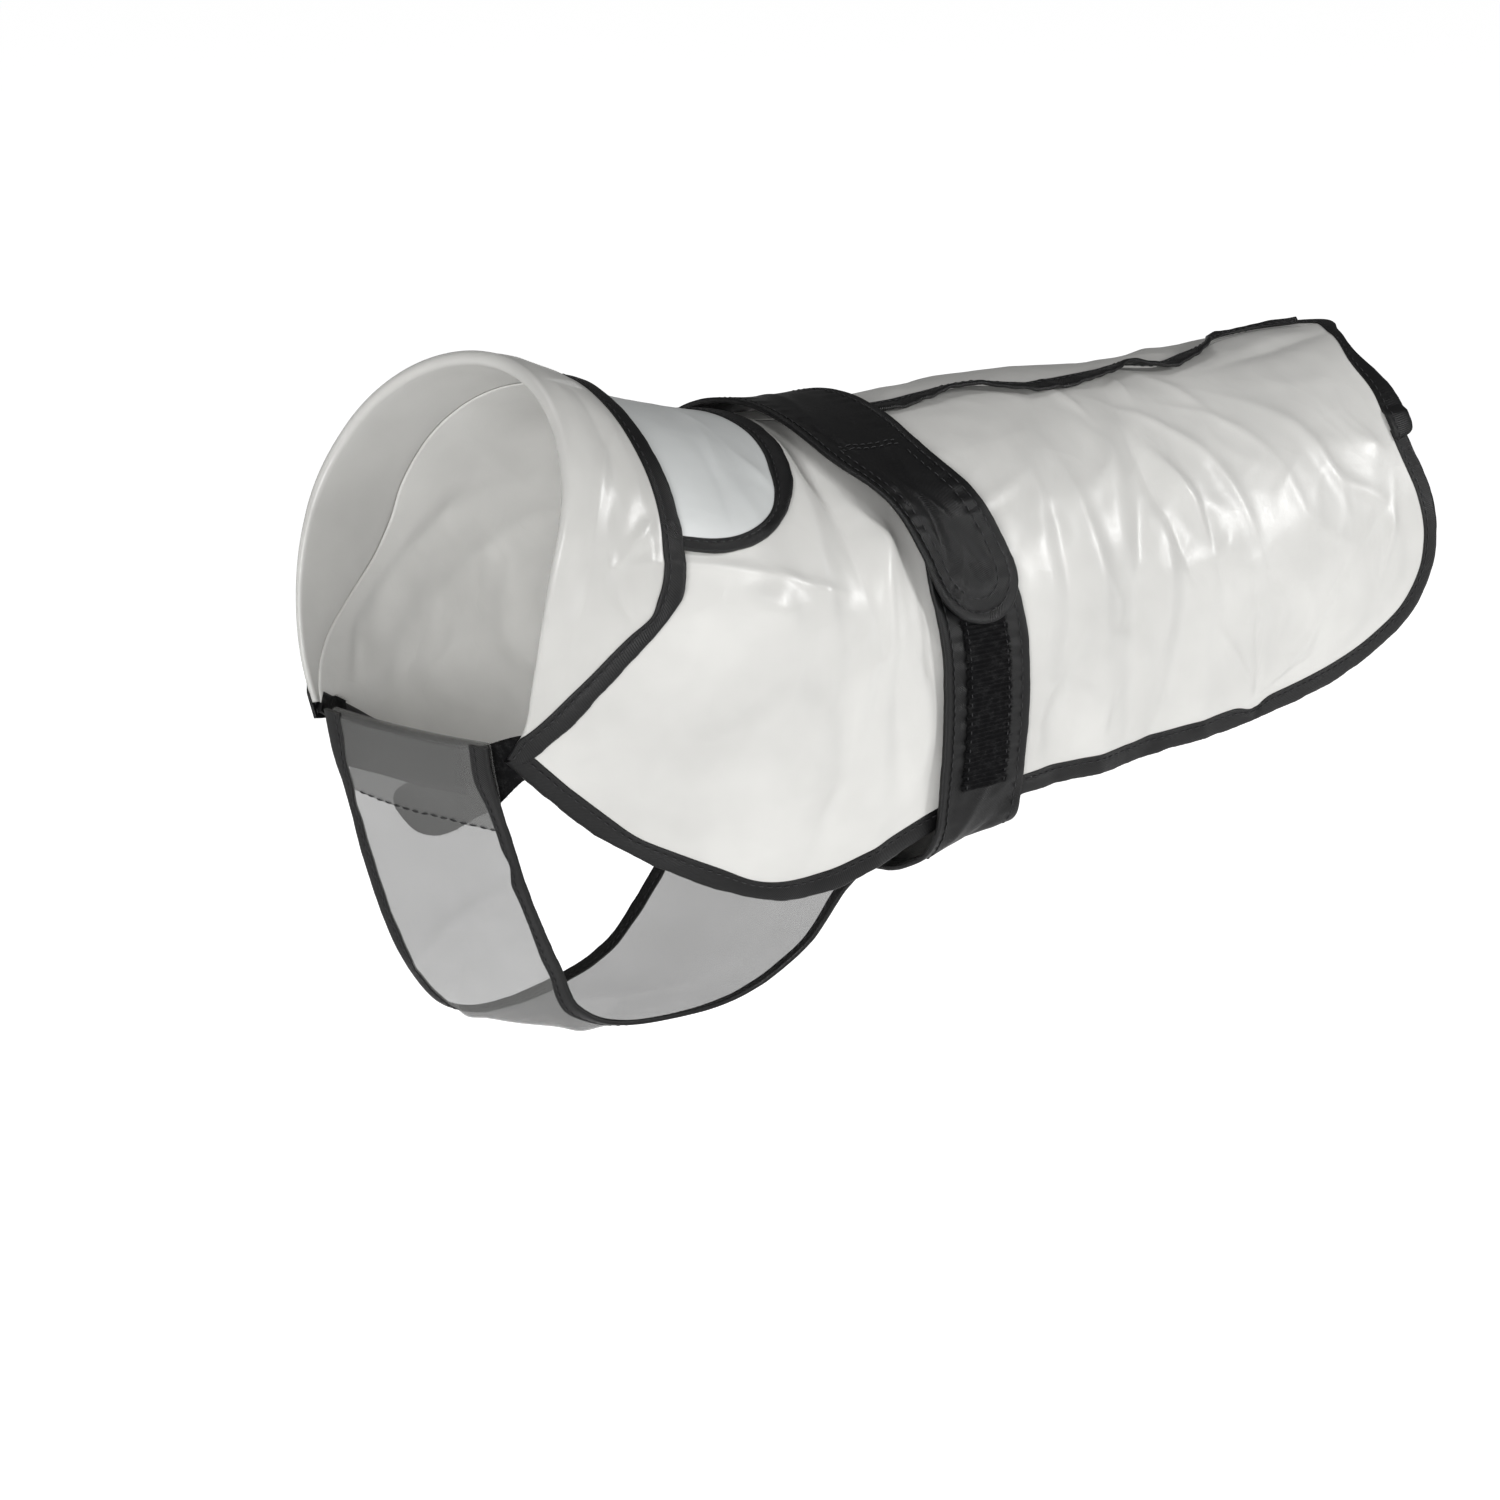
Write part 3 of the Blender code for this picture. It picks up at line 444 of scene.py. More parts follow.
TUNNEL_ROOM = 5.0
TUNNEL_SEAM = (38.5, 2.4)
# Creases of the chest panel: mm down from the top fold, and mm from its middle towards the far edge
CHEST_CREASES = (
    Crease(98, 0, 52, 46, 5, 5.2, 3),
    Crease(112, -8, 56, 40, 8, -4.2, 3),
    Crease(86, 14, 48, 26, 7, -1.5, 0),
    Crease(132, 12, 30, 26, 6, 3.4, 0),
    Crease(66, 16, 10, 30, 7, 0.9, 0),
    Crease(22, -12, 84, 20, 5, 0.6, 0),
    Crease(26, 20, 96, 16, 5, -0.6, 0),
    Crease(180, -10, 30, 34, 7, 2.4, 0),
    Crease(206, 14, -36, 34, 6, -1.3, 0),
    Crease(236, -6, 70, 26, 6, 1.2, 0),
)

# Neck tabs, each from the near side to the far side: a root lies inside a corner of the back panels, a stop
# behind the chest panel or in its tunnel. Columns: a place on the tab's upper edge, one on its lower edge, and
# how far inside it lies. A place on the coat is along and across, one on the chest panel share and mm down.
TabRoot = namedtuple("TabRoot", "upper_along upper_across lower_along lower_across inside")
TabStop = namedtuple("TabStop", "upper_share upper_down lower_share lower_down inside")
TAB_WALL = 1.8
TAB_FIBRES = 700
NEAR_TAB_ROOTS = (
    TabRoot(-203, -195, -194, -215, 2.4),
    TabRoot(-209, -200, -197, -222, 2.8),
)
NEAR_TAB_STOPS = (
    TabStop(-0.84, 4, -0.8, 35, 8.4),
    TabStop(-0.5, 12, -0.48, 43, 8.4),
    TabStop(-0.2, 21, -0.18, 51, 8.4),
    TabStop(0.08, 28, 0.08, 55, 8.4),
    TabStop(0.32, 33, 0.3, 54, 8.4),
    TabStop(0.46, 37, 0.45, 50, 8.4),
    TabStop(0.53, 41, 0.53, 46, 8.4),
)
FAR_TAB_STOPS = (
    TabStop(-0.62, 3, -0.62, 26, 2.8),
    TabStop(-0.1, 3, -0.1, 26, 2.8),
    TabStop(0.5, 3, 0.5, 26, 2.8),
    TabStop(0.76, 4, 0.76, 26.5, 2.8),
    TabStop(0.98, 4.5, 0.98, 26, 3),
)
FAR_TAB_ROOTS = (
    TabRoot(-213, 199, -213, 214, 2.6),
    TabRoot(-206, 201, -206, 213, 2.4),
)

# Section of a folded binding, once round it: share of its width from its folded edge, height as a share of
# its thickness, and 1 where the stitches pull it in
BINDING = np.array(
    (
        (0.00, 0.42, 0),
        (0.03, 0.78, 0),
        (0.10, 0.98, 0),
        (0.26, 1.00, 0),
        (0.46, 0.94, 0),
        (0.62, 0.88, 0.2),
        (0.74, 0.78, 1),
        (0.84, 0.86, 0.3),
        (0.95, 0.84, 0),
        (1.00, 0.70, 0),
        (1.00, 0.30, 0),
        (0.95, 0.16, 0),
        (0.84, 0.14, 0.3),
        (0.74, 0.22, 1),
        (0.62, 0.12, 0.2),
        (0.26, 0.00, 0),
        (0.10, 0.02, 0),
        (0.03, 0.12, 0),
    )
)
STITCH_SHARE = 0.74
BINDING_STEP = 1.6
FIBRE_RADIUS = 0.09


class RaincoatSizes(bpy.types.PropertyGroup):
    film_wall: FloatProperty(
        name="Film", description="Thickness of the frosted film", default=0.0005, unit="LENGTH"
    )
    crease_strength: FloatProperty(
        name="Creases", description="How deep the creases of the film are, 1 as worn", default=1.0, min=0
    )
    stitch_pitch: FloatProperty(
        name="Stitch pitch", description="From one stitch to the next", default=0.0042, unit="LENGTH"
    )
    stitch_length: FloatProperty(
        name="Stitch", description="Length of thread that shows of a stitch", default=0.003, unit="LENGTH"
    )
    thread_radius: FloatProperty(
        name="Thread", description="Radius of the sewing thread", default=0.00026, unit="LENGTH"
    )
    pucker: FloatProperty(
        name="Puckers",
        description="How deep the stitches pull the bindings in",
        default=0.00045,
        unit="LENGTH",
    )
    twill_pitch: FloatProperty(
        name="Twill",
        description="From one diagonal rib of the nylon to the next",
        default=0.0011,
        unit="LENGTH",
    )


class RaincoatColours(bpy.types.PropertyGroup):
    film: FloatVectorProperty(
        name="Film", description="Colour of the frosted film", subtype="COLOR", default=(0.745, 0.74, 0.715)
    )
    flap_film: FloatVectorProperty(
        name="Flap film", description="Film of the flap", subtype="COLOR", default=(0.74, 0.76, 0.755)
    )
    film_cover: FloatProperty(
        name="Cover", description="How much the film of the back hides", default=0.93, subtype="FACTOR"
    )
    collar_cover: FloatProperty(
        name="Collar cover",
        description="How much the film of the collar hides",
        default=0.7,
        subtype="FACTOR",
    )
    chest_film: FloatVectorProperty(
        name="Chest film",
        description="Clearer film of the chest panel",
        subtype="COLOR",
        default=(0.15, 0.15, 0.146),
    )
    chest_cover: FloatProperty(
        name="Chest cover",
        description="How much the film of the chest panel hides",
        default=0.48,
        subtype="FACTOR",
    )
    nylon: FloatVectorProperty(
        name="Nylon",
        description="Colour of the bindings and the strap",
        subtype="COLOR",
        default=(0.0035, 0.0035, 0.0037),
    )
    loop_tape: FloatVectorProperty(
        name="Loop tape",
        description="Colour of the strap's loop tape",
        subtype="COLOR",
        default=(0.004, 0.004, 0.0045),
    )
    thread: FloatVectorProperty(
        name="Thread", description="Colour of the thread", subtype="COLOR", default=(0.012, 0.012, 0.013)
    )


def sizes():
    return bpy.context.scene.raincoat_sizes


def colours():
    return bpy.context.scene.raincoat_colours


# ---------------------------------------------------------------- curves


def smooth_rows(knots, rows, at):
    """Values between the rows of a table: a cubic through each row, its slope the mean of its two sides."""
    knots, rows, at = (np.asarray(v, float) for v in (knots, rows, at))
    spans = np.diff(knots)
    rises = np.diff(rows, axis=0) / spans[:, None]
    slopes = np.concatenate([rises[:1], (rises[1:] + rises[:-1]) / 2, rises[-1:]])
    i = np.clip(np.searchsorted(knots, at) - 1, 0, len(spans) - 1)
    span = spans[i][..., None]
    inside = np.clip(at, knots[0], knots[-1])
    beyond = (at - inside)[..., None]
    t = ((inside - knots[i]) / spans[i])[..., None]
    start = (2 * t**3 - 3 * t**2 + 1) * rows[i] + (t**3 - 2 * t**2 + t) * span * slopes[i]
    end = (3 * t**2 - 2 * t**3) * rows[i + 1] + (t**3 - t**2) * span * slopes[i + 1]
    return start + end + beyond * np.where(beyond < 0, slopes[0], slopes[-1])


def read_table(table, at):
    """The columns of a table after its first, at places along that first column."""
    rows = np.array(table, float)
    return np.moveaxis(smooth_rows(rows[:, 0], rows[:, 1:], at), -1, 0)


def ease(t):
    """0 to 1 with level ends."""
    t = np.clip(t, 0, 1)
    return t * t * (3 - 2 * t)


def distances(points):
    """Distance along a line of points, from its start."""
    steps = np.linalg.norm(np.diff(points, axis=0), axis=1)
    return np.concatenate([[0], np.cumsum(steps)])


def evenly(points, count):
    """The same line with `count` points, evenly spaced."""
    gone = distances(points)
    at = np.linspace(0, gone[-1], count)
    return np.stack([np.interp(at, gone, points[:, k]) for k in range(points.shape[1])], -1)


def unit(vectors):
    return vectors / np.maximum(np.linalg.norm(vectors, axis=-1, keepdims=True), 1e-12)


def leftward(line):
    """Unit directions square to a flat line, to its left."""
    ahead = np.gradient(line, axis=-2)
    return unit(np.stack([-ahead[..., 1], ahead[..., 0]], -1))


def waver(at, length, phase):
    """A wandering value from about -1 to 1 along a line: three sines whose lengths share no multiple."""
    t = 2 * pi * np.asarray(at, float) / length
    return (np.sin(t + phase) + 0.6 * np.sin(2.31 * t + 2.1 * phase) + 0.4 * np.sin(4.77 * t + 3.7 * phase)) / 1.6


def crease_height(along, across, creases):
    """Sum of the creases: each a bell across its heading with a narrow crest, faded out towards both ends."""
    height = np.zeros(np.broadcast(along, across).shape)
    for crease in creases:
        heading = radians(crease.heading)
        right, up = along - crease.along, across - crease.across
        lengthwise = (right * np.cos(heading) + up * np.sin(heading)) / crease.length
        sideways = up * np.cos(heading) - right * np.sin(heading) - crease.bow * (1 - lengthwise**2)
        taper = np.clip(1 - 0.35 * np.abs(lengthwise), 0.3, 1)
        across_it = np.abs(sideways) / (crease.width * taper)
        height += crease.height * np.exp(-(lengthwise**2)) * np.exp(-(across_it**1.6))
    return height * sizes().crease_strength


def crumple(along, across):
    """Ridges of crumpled film: waves with narrow crests that wander, and come and go in patches."""
    height = np.zeros(np.broadcast(along, across).shape)
    for wave in CRUMPLES:
        heading = radians(wave.heading)
        ahead = along * np.cos(heading) + across * np.sin(heading)
        aside = across * np.cos(heading) - along * np.sin(heading)
        turn = pi / wave.spacing
        bend = np.sin(0.47 * turn * ahead + wave.phase) + 0.5 * np.sin(1.13 * turn * ahead + aside / 60)
        swing = turn * aside + wave.wander * bend + 0.8 * np.sin(0.31 * turn * aside + wave.phase)
        crest = (0.5 + 0.5 * np.cos(2 * swing + 0.7 * np.sin(2 * swing))) ** 1.5
        patch = 0.5 * np.sin(0.61 * turn * ahead + 2 * wave.phase)
        patch = 0.5 + patch * np.sin(0.43 * turn * aside + wave.phase)
        height += wave.height * crest * patch**1.5
    on_flank = 0.35 + 0.65 * ease((np.abs(across) - 40) / 50)
    return height * on_flank * sizes().crease_strength


# ---------------------------------------------------------------- the worn surface


def arc_step(length, turned, bend):
    """Sideways and down of an arc that starts turned from level and bends by `bend` for each mm."""
    ahead = turned + bend * length
    return (np.sin(ahead) - np.sin(turned)) / bend, (np.cos(turned) - np.cos(ahead)) / bend


RING_ROWS = np.array(RINGS, float)
RING_PLACES = distances(RING_ROWS[:, :2])
RING_PLACES = RING_PLACES - RING_PLACES[ORIGIN_RING]


def ring_section(across, crown, side, tuck):
    """Sideways and down of the cloth of a ring: an arc over the back, one at the side, and a slow turn under."""
    run = np.abs(across)
    over = crown * CROWN_TURN
    round_side = side * (pi / 2 - CROWN_TURN)
    steps = (
        arc_step(np.clip(run, 0, over), 0, 1 / crown),
        arc_step(np.clip(run - over, 0, round_side), CROWN_TURN, 1 / side),
        arc_step(np.clip(run - over - round_side, 0, None), pi / 2, np.radians(tuck) / 100),
    )
    return np.sign(across) * sum(step[0] for step in steps), sum(step[1] for step in steps)


def body_form(along, across):
    """The worn form without folds."""
    rows = smooth_rows(RING_PLACES, RING_ROWS, along)
    x, z, lean, yaw, crown, side, near, far = np.moveaxis(rows, -1, 0)
    out, down = ring_section(across, crown, side, np.where(across < 0, near, far))
    lean, yaw = np.radians(lean), np.radians(yaw)
    back = np.sin(lean) * down + np.sin(yaw) * out
    return np.stack([x - back, np.cos(yaw) * out, z - np.cos(lean) * down], -1)


def fold_height(along, across):
    """Sum of the folds: each is a bell across its heading, faded out along it."""
    height = np.zeros(np.shape(along))
    for fold in FOLDS:
        heading = radians(fold.heading)
        right, up = along - fold.along, across - fold.across
        lengthwise = right * np.cos(heading) + up * np.sin(heading)
        sideways = up * np.cos(heading) - right * np.sin(heading)
        height += fold.height * np.exp(-((lengthwise / fold.length) ** 2) - (sideways / fold.width) ** 2)
    return height


def coat_frame(along, across, creased=True):
    """Points on the worn surface, and its unit directions outwards and across."""
    along, across = np.broadcast_arrays(np.asarray(along, float), np.asarray(across, float))
    step = 0.5
    by_along = body_form(along + step, across) - body_form(along - step, across)
    by_across = body_form(along, across + step) - body_form(along, across - step)
    normal = unit(np.cross(by_along, by_across))
    height = fold_height(along, across)
    if creased:
        height = height + crease_height(along, across, COAT_CREASES) * strap_clear(along, across)
    return body_form(along, across) + normal * height[..., None], normal, unit(by_across)


def strap_clear(along, across):
    """1 over the coat and less under the belly strap, which presses the creases flat."""
    middle, width, _, _ = read_table(STRAP, np.clip(across, STRAP[0].across, STRAP[-1].across))
    return 0.2 + 0.8 * ease((np.abs(along - middle) - width / 2 + 4) / 14)


def open_film(along, across):
    """1 where nothing lies on the film of the back, fading to 0 under the flap, the collar and the strap."""
    forward = np.clip((along - FLAP_SHOULDER) / (FLAP_LENGTH + 3), 0, None) ** FLAP_ROUNDNESS
    past_flap = forward + np.abs((across - FLAP_MIDDLE) / (FLAP_HALF_WIDTH + 3)) ** FLAP_ROUNDNESS - 1
    past_collar = along - read_table(NECK, across)[0] - read_table(COLLAR, np.abs(across))[1]
    return ease(past_flap / 0.5) * ease((past_collar - 3) / 14) * (strap_clear(along, across) - 0.2) / 0.8


def coat(along, across, out=0.0, creased=True):
    """Points on the worn surface, moved outwards by `out` mm."""
    place, normal, _ = coat_frame(along, across, creased)
    return place + normal * np.broadcast_to(out, place.shape[:-1])[..., None]


def coat_outline():
    """The bound outline, from the near neck corner over the tail to the far one, and the distance of each row."""
    near = [(edge.along, -edge.drop) for edge in NEAR_EDGE]
    far = [(edge.along, edge.drop) for edge in reversed(FAR_EDGE[:-1])]
    rows = np.array(near + far, float)
    knots = distances(rows)
    at = np.arange(0, knots[-1] + 1)
    return smooth_rows(knots, rows, at), at, knots


def neck_seam(across):
    """Where the collar's seam crosses the coat."""
    return read_table(NECK, across)[0] + read_table(COLLAR, np.abs(across))[0]


def seam_across(along):
    return read_table(SEAM, along)[0]


def panel_patch(trimmed, corner, side, rows, columns):
    """(along, across) of a back panel between its seam, hem, neck and rear edges, ruled both ways.

    `trimmed` runs along the hem from the neck, round the rear corner and up to the back seam.
    """
    below = trimmed[:2] - 2 * (trimmed[1] - trimmed[0]) * np.arange(6, 0, -1)[:, None, None]
    hem = np.concatenate([below[:, 0], trimmed[: corner + 1]])
    hem = evenly(hem[hem[:, 0] > neck_seam(hem[:, 1])], rows)
    rear = trimmed[corner:]
    rear = rear[side * (rear[:, 1] - seam_across(rear[:, 0])) > 0.2]
    end = rear[-1]
    rear = evenly(np.concatenate([[(end[0], seam_across(end[0]))], rear[::-1]]), columns)
    tail, top = rear[0, 0], seam_across(neck_seam(0.0))
    seam_along = np.linspace(neck_seam(top), tail, rows)
    seam = np.stack([seam_along, seam_across(seam_along)], -1)
    round_neck = np.linspace(seam[0, 1], hem[0, 1], columns)
    neck = np.stack([neck_seam(round_neck), round_neck], -1)
    u = np.linspace(0, 1, rows)[:, None, None]
    v = np.linspace(0, 1, columns)[None, :, None]
    ruled = (1 - v) * seam[:, None] + v * hem[:, None] + (1 - u) * neck[None] + u * rear[None]
    corners = (1 - u) * ((1 - v) * seam[0] + v * hem[0]) + u * ((1 - v) * seam[-1] + v * hem[-1])
    return ruled - corners


# ---------------------------------------------------------------- the strap's path


def belly_start():
    """Sideways and down where the strap leaves the flank, and how far it has turned from level there."""
    flank = coat(BELLY_ALONG, np.array([STRAP_LEAVES - 1, STRAP_LEAVES]), STRAP[0].lift, False)
    run = flank[1] - flank[0]
    return flank[1, 1], -flank[1, 2], np.arctan2(-run[2], run[1])


def belly_lengths():
    """Length of the strap round a corner of the belly, and from there to the middle."""
    out, _, turned = belly_start()
    corner = BELLY_CORNER_RADIUS * (BELLY_CORNER_TURN - turned)
    half = out + arc_step(corner, turned, 1 / BELLY_CORNER_RADIUS)[0]
    radius = half / np.sin(BELLY_CORNER_TURN)
    return corner, radius * (pi - BELLY_CORNER_TURN), radius


def belly_section(run, height):
    """y and z under the belly, `run` mm from the far flank: a corner arc, a shallow arc, and a corner arc."""
    out, down, turned = belly_start()
    corner, flat, radius = belly_lengths()
    whole = 2 * (corner + flat)
    side = np.where(run < whole / 2, 1, -1)
    run = np.minimum(run, whole - run)
    in_corner, past = np.clip(run, 0, corner), np.clip(run - corner, 0, flat)
    first = arc_step(in_corner, turned, 1 / BELLY_CORNER_RADIUS)
    second = arc_step(past, BELLY_CORNER_TURN, 1 / radius)
    angle = turned + in_corner / BELLY_CORNER_RADIUS + past / radius
    y = side * (out + first[0] + second[0] + np.sin(angle) * height)
    return y, -(down + first[1] + second[1]) + np.cos(angle) * height


def strap_lengths():
    """Length of the strap from its tip to the far flank, and from there to the near flank."""
    corner, flat, _ = belly_lengths()
    return STRAP_LEAVES - STRAP_TIP, 2 * (corner + flat)


def strap_middle(run):
    """Place round the body, share of the way under the belly, and the table's columns, `run` mm from the tip."""
    run = np.asarray(run, float)
    over, under = strap_lengths()
    share = np.clip((run - over) / under, 0, 1)
    past_belly = run - over - under - STRAP_LEAVES
    across = np.where(run < over, STRAP_TIP + run, np.where(share < 1, STRAP_LEAVES, past_belly))
    far, near = (read_table(STRAP, side * STRAP_LEAVES).reshape(-1, *[1] * run.ndim) for side in (1, -1))
    under_belly = (share > 0) & (share < 1)
    columns = np.where(under_belly, far + (near - far) * share, read_table(STRAP, across))
    hidden = ease((across - HIDDEN_NARROWS) / 34) * (run > over + under)
    columns[1] = columns[1] * (1 - 0.34 * hidden)
    return across, share, columns


def strap_place(run, sideways, height):
    """Points of the strap: `run` mm from its tip, `sideways` towards the tail, `height` above its inner face."""
    run, sideways, height = np.broadcast_arrays(run, sideways, height)
    over, under = strap_lengths()
    across, share, (middle, width, lift, front) = strap_middle(run)
    edge = np.clip(-sideways / (width / 2), 0, 1)
    outer_layer = run < over
    rise = OVERLAP_RISE * ease((OVERLAP_NONE - across) / (OVERLAP_NONE - OVERLAP_FULL)) * outer_layer
    upper = crease_height(across, sideways, UPPER_CREASES) * outer_layer
    round_near = np.where(run > over, run - over - under - STRAP_LEAVES, 0)
    lower = crease_height(round_near, sideways, LOWER_CREASES) * (run > over)
    out = lift + front * edge**1.5 + rise + height + (upper + lower) * (1 - (sideways / (width / 2)) ** 8)
    along = middle + sideways
    on_coat = coat(along, across, out, False)
    y, z = belly_section(np.clip(run - over, 0, under), out - STRAP[0].lift)
    tilt = BELLY_TILT * ease(np.minimum(share, 1 - share) / BELLY_TILT_FADE)
    on_belly = np.stack([along, y, z + sideways * tilt], -1)
    for at, place, weight in ((0.0, STRAP_LEAVES, (1 - share) ** 2), (under, -STRAP_LEAVES, share**2)):
        y, z = belly_section(np.full(run.shape, at), out - STRAP[0].lift)
        step = coat(along, np.full(run.shape, place), out, False) - np.stack([along, y, z], -1)
        on_belly = on_belly + step * weight[..., None]
    return np.where(((share > 0) & (share < 1))[..., None], on_belly, on_coat)


# ---------------------------------------------------------------- the chest panel's surface

CHEST_ROWS = np.array(CHEST, float)
CHEST_PLACES = distances(CHEST_ROWS[:, :2])


def chest_form(down, share):
    """Points of the chest panel: mm down from its top fold, and -1 to 1 from its near edge to its far edge."""
    rows = smooth_rows(CHEST_PLACES, CHEST_ROWS, down)
    x, z, half, turn, tip, sag = np.moveaxis(rows, -1, 0)
    turn = np.radians(turn)
    chord = np.stack([x - half * share * np.sin(turn), half * share * np.cos(turn), z - tip * share / 2], -1)
    by_x, by_z = np.moveaxis(smooth_rows(CHEST_PLACES, CHEST_ROWS[:, :2], down + 1), -1, 0) - (x, z)
    square = unit(np.stack([by_z, np.zeros_like(by_z), -by_x], -1))
    return chord + square * (sag * (1 - share**2))[..., None]


def chest_half(down):
    return smooth_rows(CHEST_PLACES, CHEST_ROWS, down)[..., 2]


def chest_place(down, share, out):
    """Points of the chest panel, moved out from the wearer by `out` mm, with its creases between its tapes."""
    down, share, out = np.broadcast_arrays(down, share, out)
    by_down = chest_form(down + 0.5, share) - chest_form(down - 0.5, share)
    by_share = chest_form(down, share + 0.01) - chest_form(down, share - 0.01)
    between = ease((1 - np.abs(share)) / 0.3) * ease((CHEST_PLACES[-1] - down) / 40)
    out = out + crease_height(down, share * chest_half(down), CHEST_CREASES) * between
    return chest_form(down, share) + unit(np.cross(by_share, by_down)) * out[..., None]


# ---------------------------------------------------------------- meshes


def add_mesh(name, points, faces, finish, uv=None, auto_smooth=radians(50)):
    """One object from points in mm and lists of corners, with its UV given for each point in metres."""
    mesh = bpy.data.meshes.new(name)
    mesh.from_pydata((np.asarray(points, float) * MM).tolist(), [], faces)
    mesh.update()
    if uv is not None:
        corners = np.empty(len(mesh.loops), int)
        mesh.loops.foreach_get("vertex_index", corners)
        layer = mesh.uv_layers.new(name="cloth")
        layer.data.foreach_set("uv", np.asarray(uv, np.float32)[corners].ravel())
    mesh.shade_smooth()
    mesh.set_sharp_from_angle(angle=auto_smooth)
    mesh.materials.append(finish)
    piece = bpy.data.objects.new(name, mesh)
    bpy.context.scene.collection.objects.link(piece)
    return piece


def grid_faces(rows, columns, closed=False):
    """Corners of the quads of a grid, joined round its columns where it is closed."""
    i, j = np.arange(rows - 1)[:, None], np.arange(columns if closed else columns - 1)[None]
    k = (j + 1) % columns
    quads = np.stack([i * columns + j, i * columns + k, (i + 1) * columns + k, (i + 1) * columns + j], -1)
    return quads.reshape(-1, 4).tolist()


def grid_uv(points):
    """Metres along and across a grid, measured on its middle row and column."""
    across = distances(points[points.shape[0] // 2]) * MM
    along = distances(points[:, points.shape[1] // 2]) * MM
    return np.stack(np.broadcast_arrays(along[:, None], across[None]), -1).reshape(-1, 2)


def add_sheet(name, points, finish):
    """A thin shell: its wall is laid evenly to both sides of a grid of points."""
    piece = add_mesh(name, points.reshape(-1, 3), grid_faces(*points.shape[:2]), finish, grid_uv(points))
    thick = piece.modifiers.new("wall", "SOLIDIFY")
    thick.thickness = sizes().film_wall
    thick.offset = 0
    return piece


def add_tube(name, points, finish):
    """A closed skin through rings of points, its two ends capped."""
    rows, columns = points.shape[:2]
    faces = grid_faces(rows, columns, True)
    faces.append(list(range(columns))[::-1])
    faces.append(list(range((rows - 1) * columns, rows * columns)))
    uv = np.stack(
        np.broadcast_arrays(
            (distances(points.mean(axis=1)) * MM)[:, None],
            (distances(points[rows // 2]) * MM)[None],
        ),
        -1,
    )
    return add_mesh(name, points.reshape(-1, 3), faces, finish, uv.reshape(-1, 2), radians(70))


def outward_tube(name, points, finish):
    """add_tube, with the rings turned round where their order would make the skin face inwards."""
    ring = points[len(points) // 2]
    ahead = points[len(points) // 2 + 1].mean(axis=0) - ring.mean(axis=0)
    area = np.cross(ring - ring.mean(axis=0), np.roll(ring, -1, axis=0) - ring.mean(axis=0)).sum(axis=0)
    return add_tube(name, points if np.dot(area, ahead) > 0 else points[:, ::-1], finish)


def pull_in(run, phase):
    """How far each stitch draws the binding in, 0 to 1: a dip at every stitch, uneven from one to the next."""
    pitch = sizes().stitch_pitch / MM
    beat = 0.5 + 0.5 * np.cos(2 * pi * run / pitch)
    return beat * (0.55 + 0.45 * waver(run, 46, phase))


def binding_points(place, outer, inner, low, thickness, phase):
    """Rings of a folded binding between two lines: the section table, puckered by its stitches and wandering.

    `place(points, height)` gives points in space for places and heights; outer and inner are lines of places.
    """
    run = distances(place(outer, low))
    share, level, drawn = BINDING.T
    wander = 0.035 * waver(run, 70, phase)[:, None]
    share = share + (wander + 0.02 * waver(run, 23, phase + 1)[:, None]) * (1 - share)
    swell = 1 + 0.1 * waver(run, 34, phase + 2)[:, None] * (share - 0.3)
    places = outer[:, None] + (inner - outer)[:, None] * share[..., None]
    middle = thickness / 2
    height = low[:, None] + middle + (level - 0.5) * thickness * swell
    depth = sizes().pucker / MM * pull_in(run, phase)[:, None] * drawn
    height = height - np.sign(level - 0.5) * depth
    return place(places, height)


def on_coat(places, height):
    return coat(places[..., 0], places[..., 1], height)


def on_chest(places, height):
    return chest_place(places[..., 1], places[..., 0], height)


def even_lines(outer, inner, place, step):
    """Both lines with points `step` mm apart, measured in space along the outer one."""
    gone = distances(place(outer, np.zeros(len(outer))))
    at = np.linspace(0, gone[-1], round(gone[-1] / step) + 1)
    both = np.concatenate([outer, inner], 1)
    both = np.stack([np.interp(at, gone, both[:, k]) for k in range(4)], -1)
    return both[:, :2], both[:, 2:]


def add_binding(name, place, outer, inner, low, thickness, phase):
    """A binding and the row of stitches on each of its faces."""
    outer, inner = even_lines(outer, inner, place, BINDING_STEP)
    low = np.interp(np.linspace(0, 1, len(outer)), np.linspace(0, 1, len(low)), low)
    points = binding_points(place, outer, inner, low, thickness, phase)
    piece = outward_tube(name, points, nylon_material())
    seam = outer + (inner - outer) * STITCH_SHARE
    rows = []
    for face, level in ((1, 0.8), (-1, 0.2)):
        height = low + thickness * level
        line = place(seam, height)
        rows.append((line, unit(place(seam, height + 1) - line) * face))
    return piece, rows


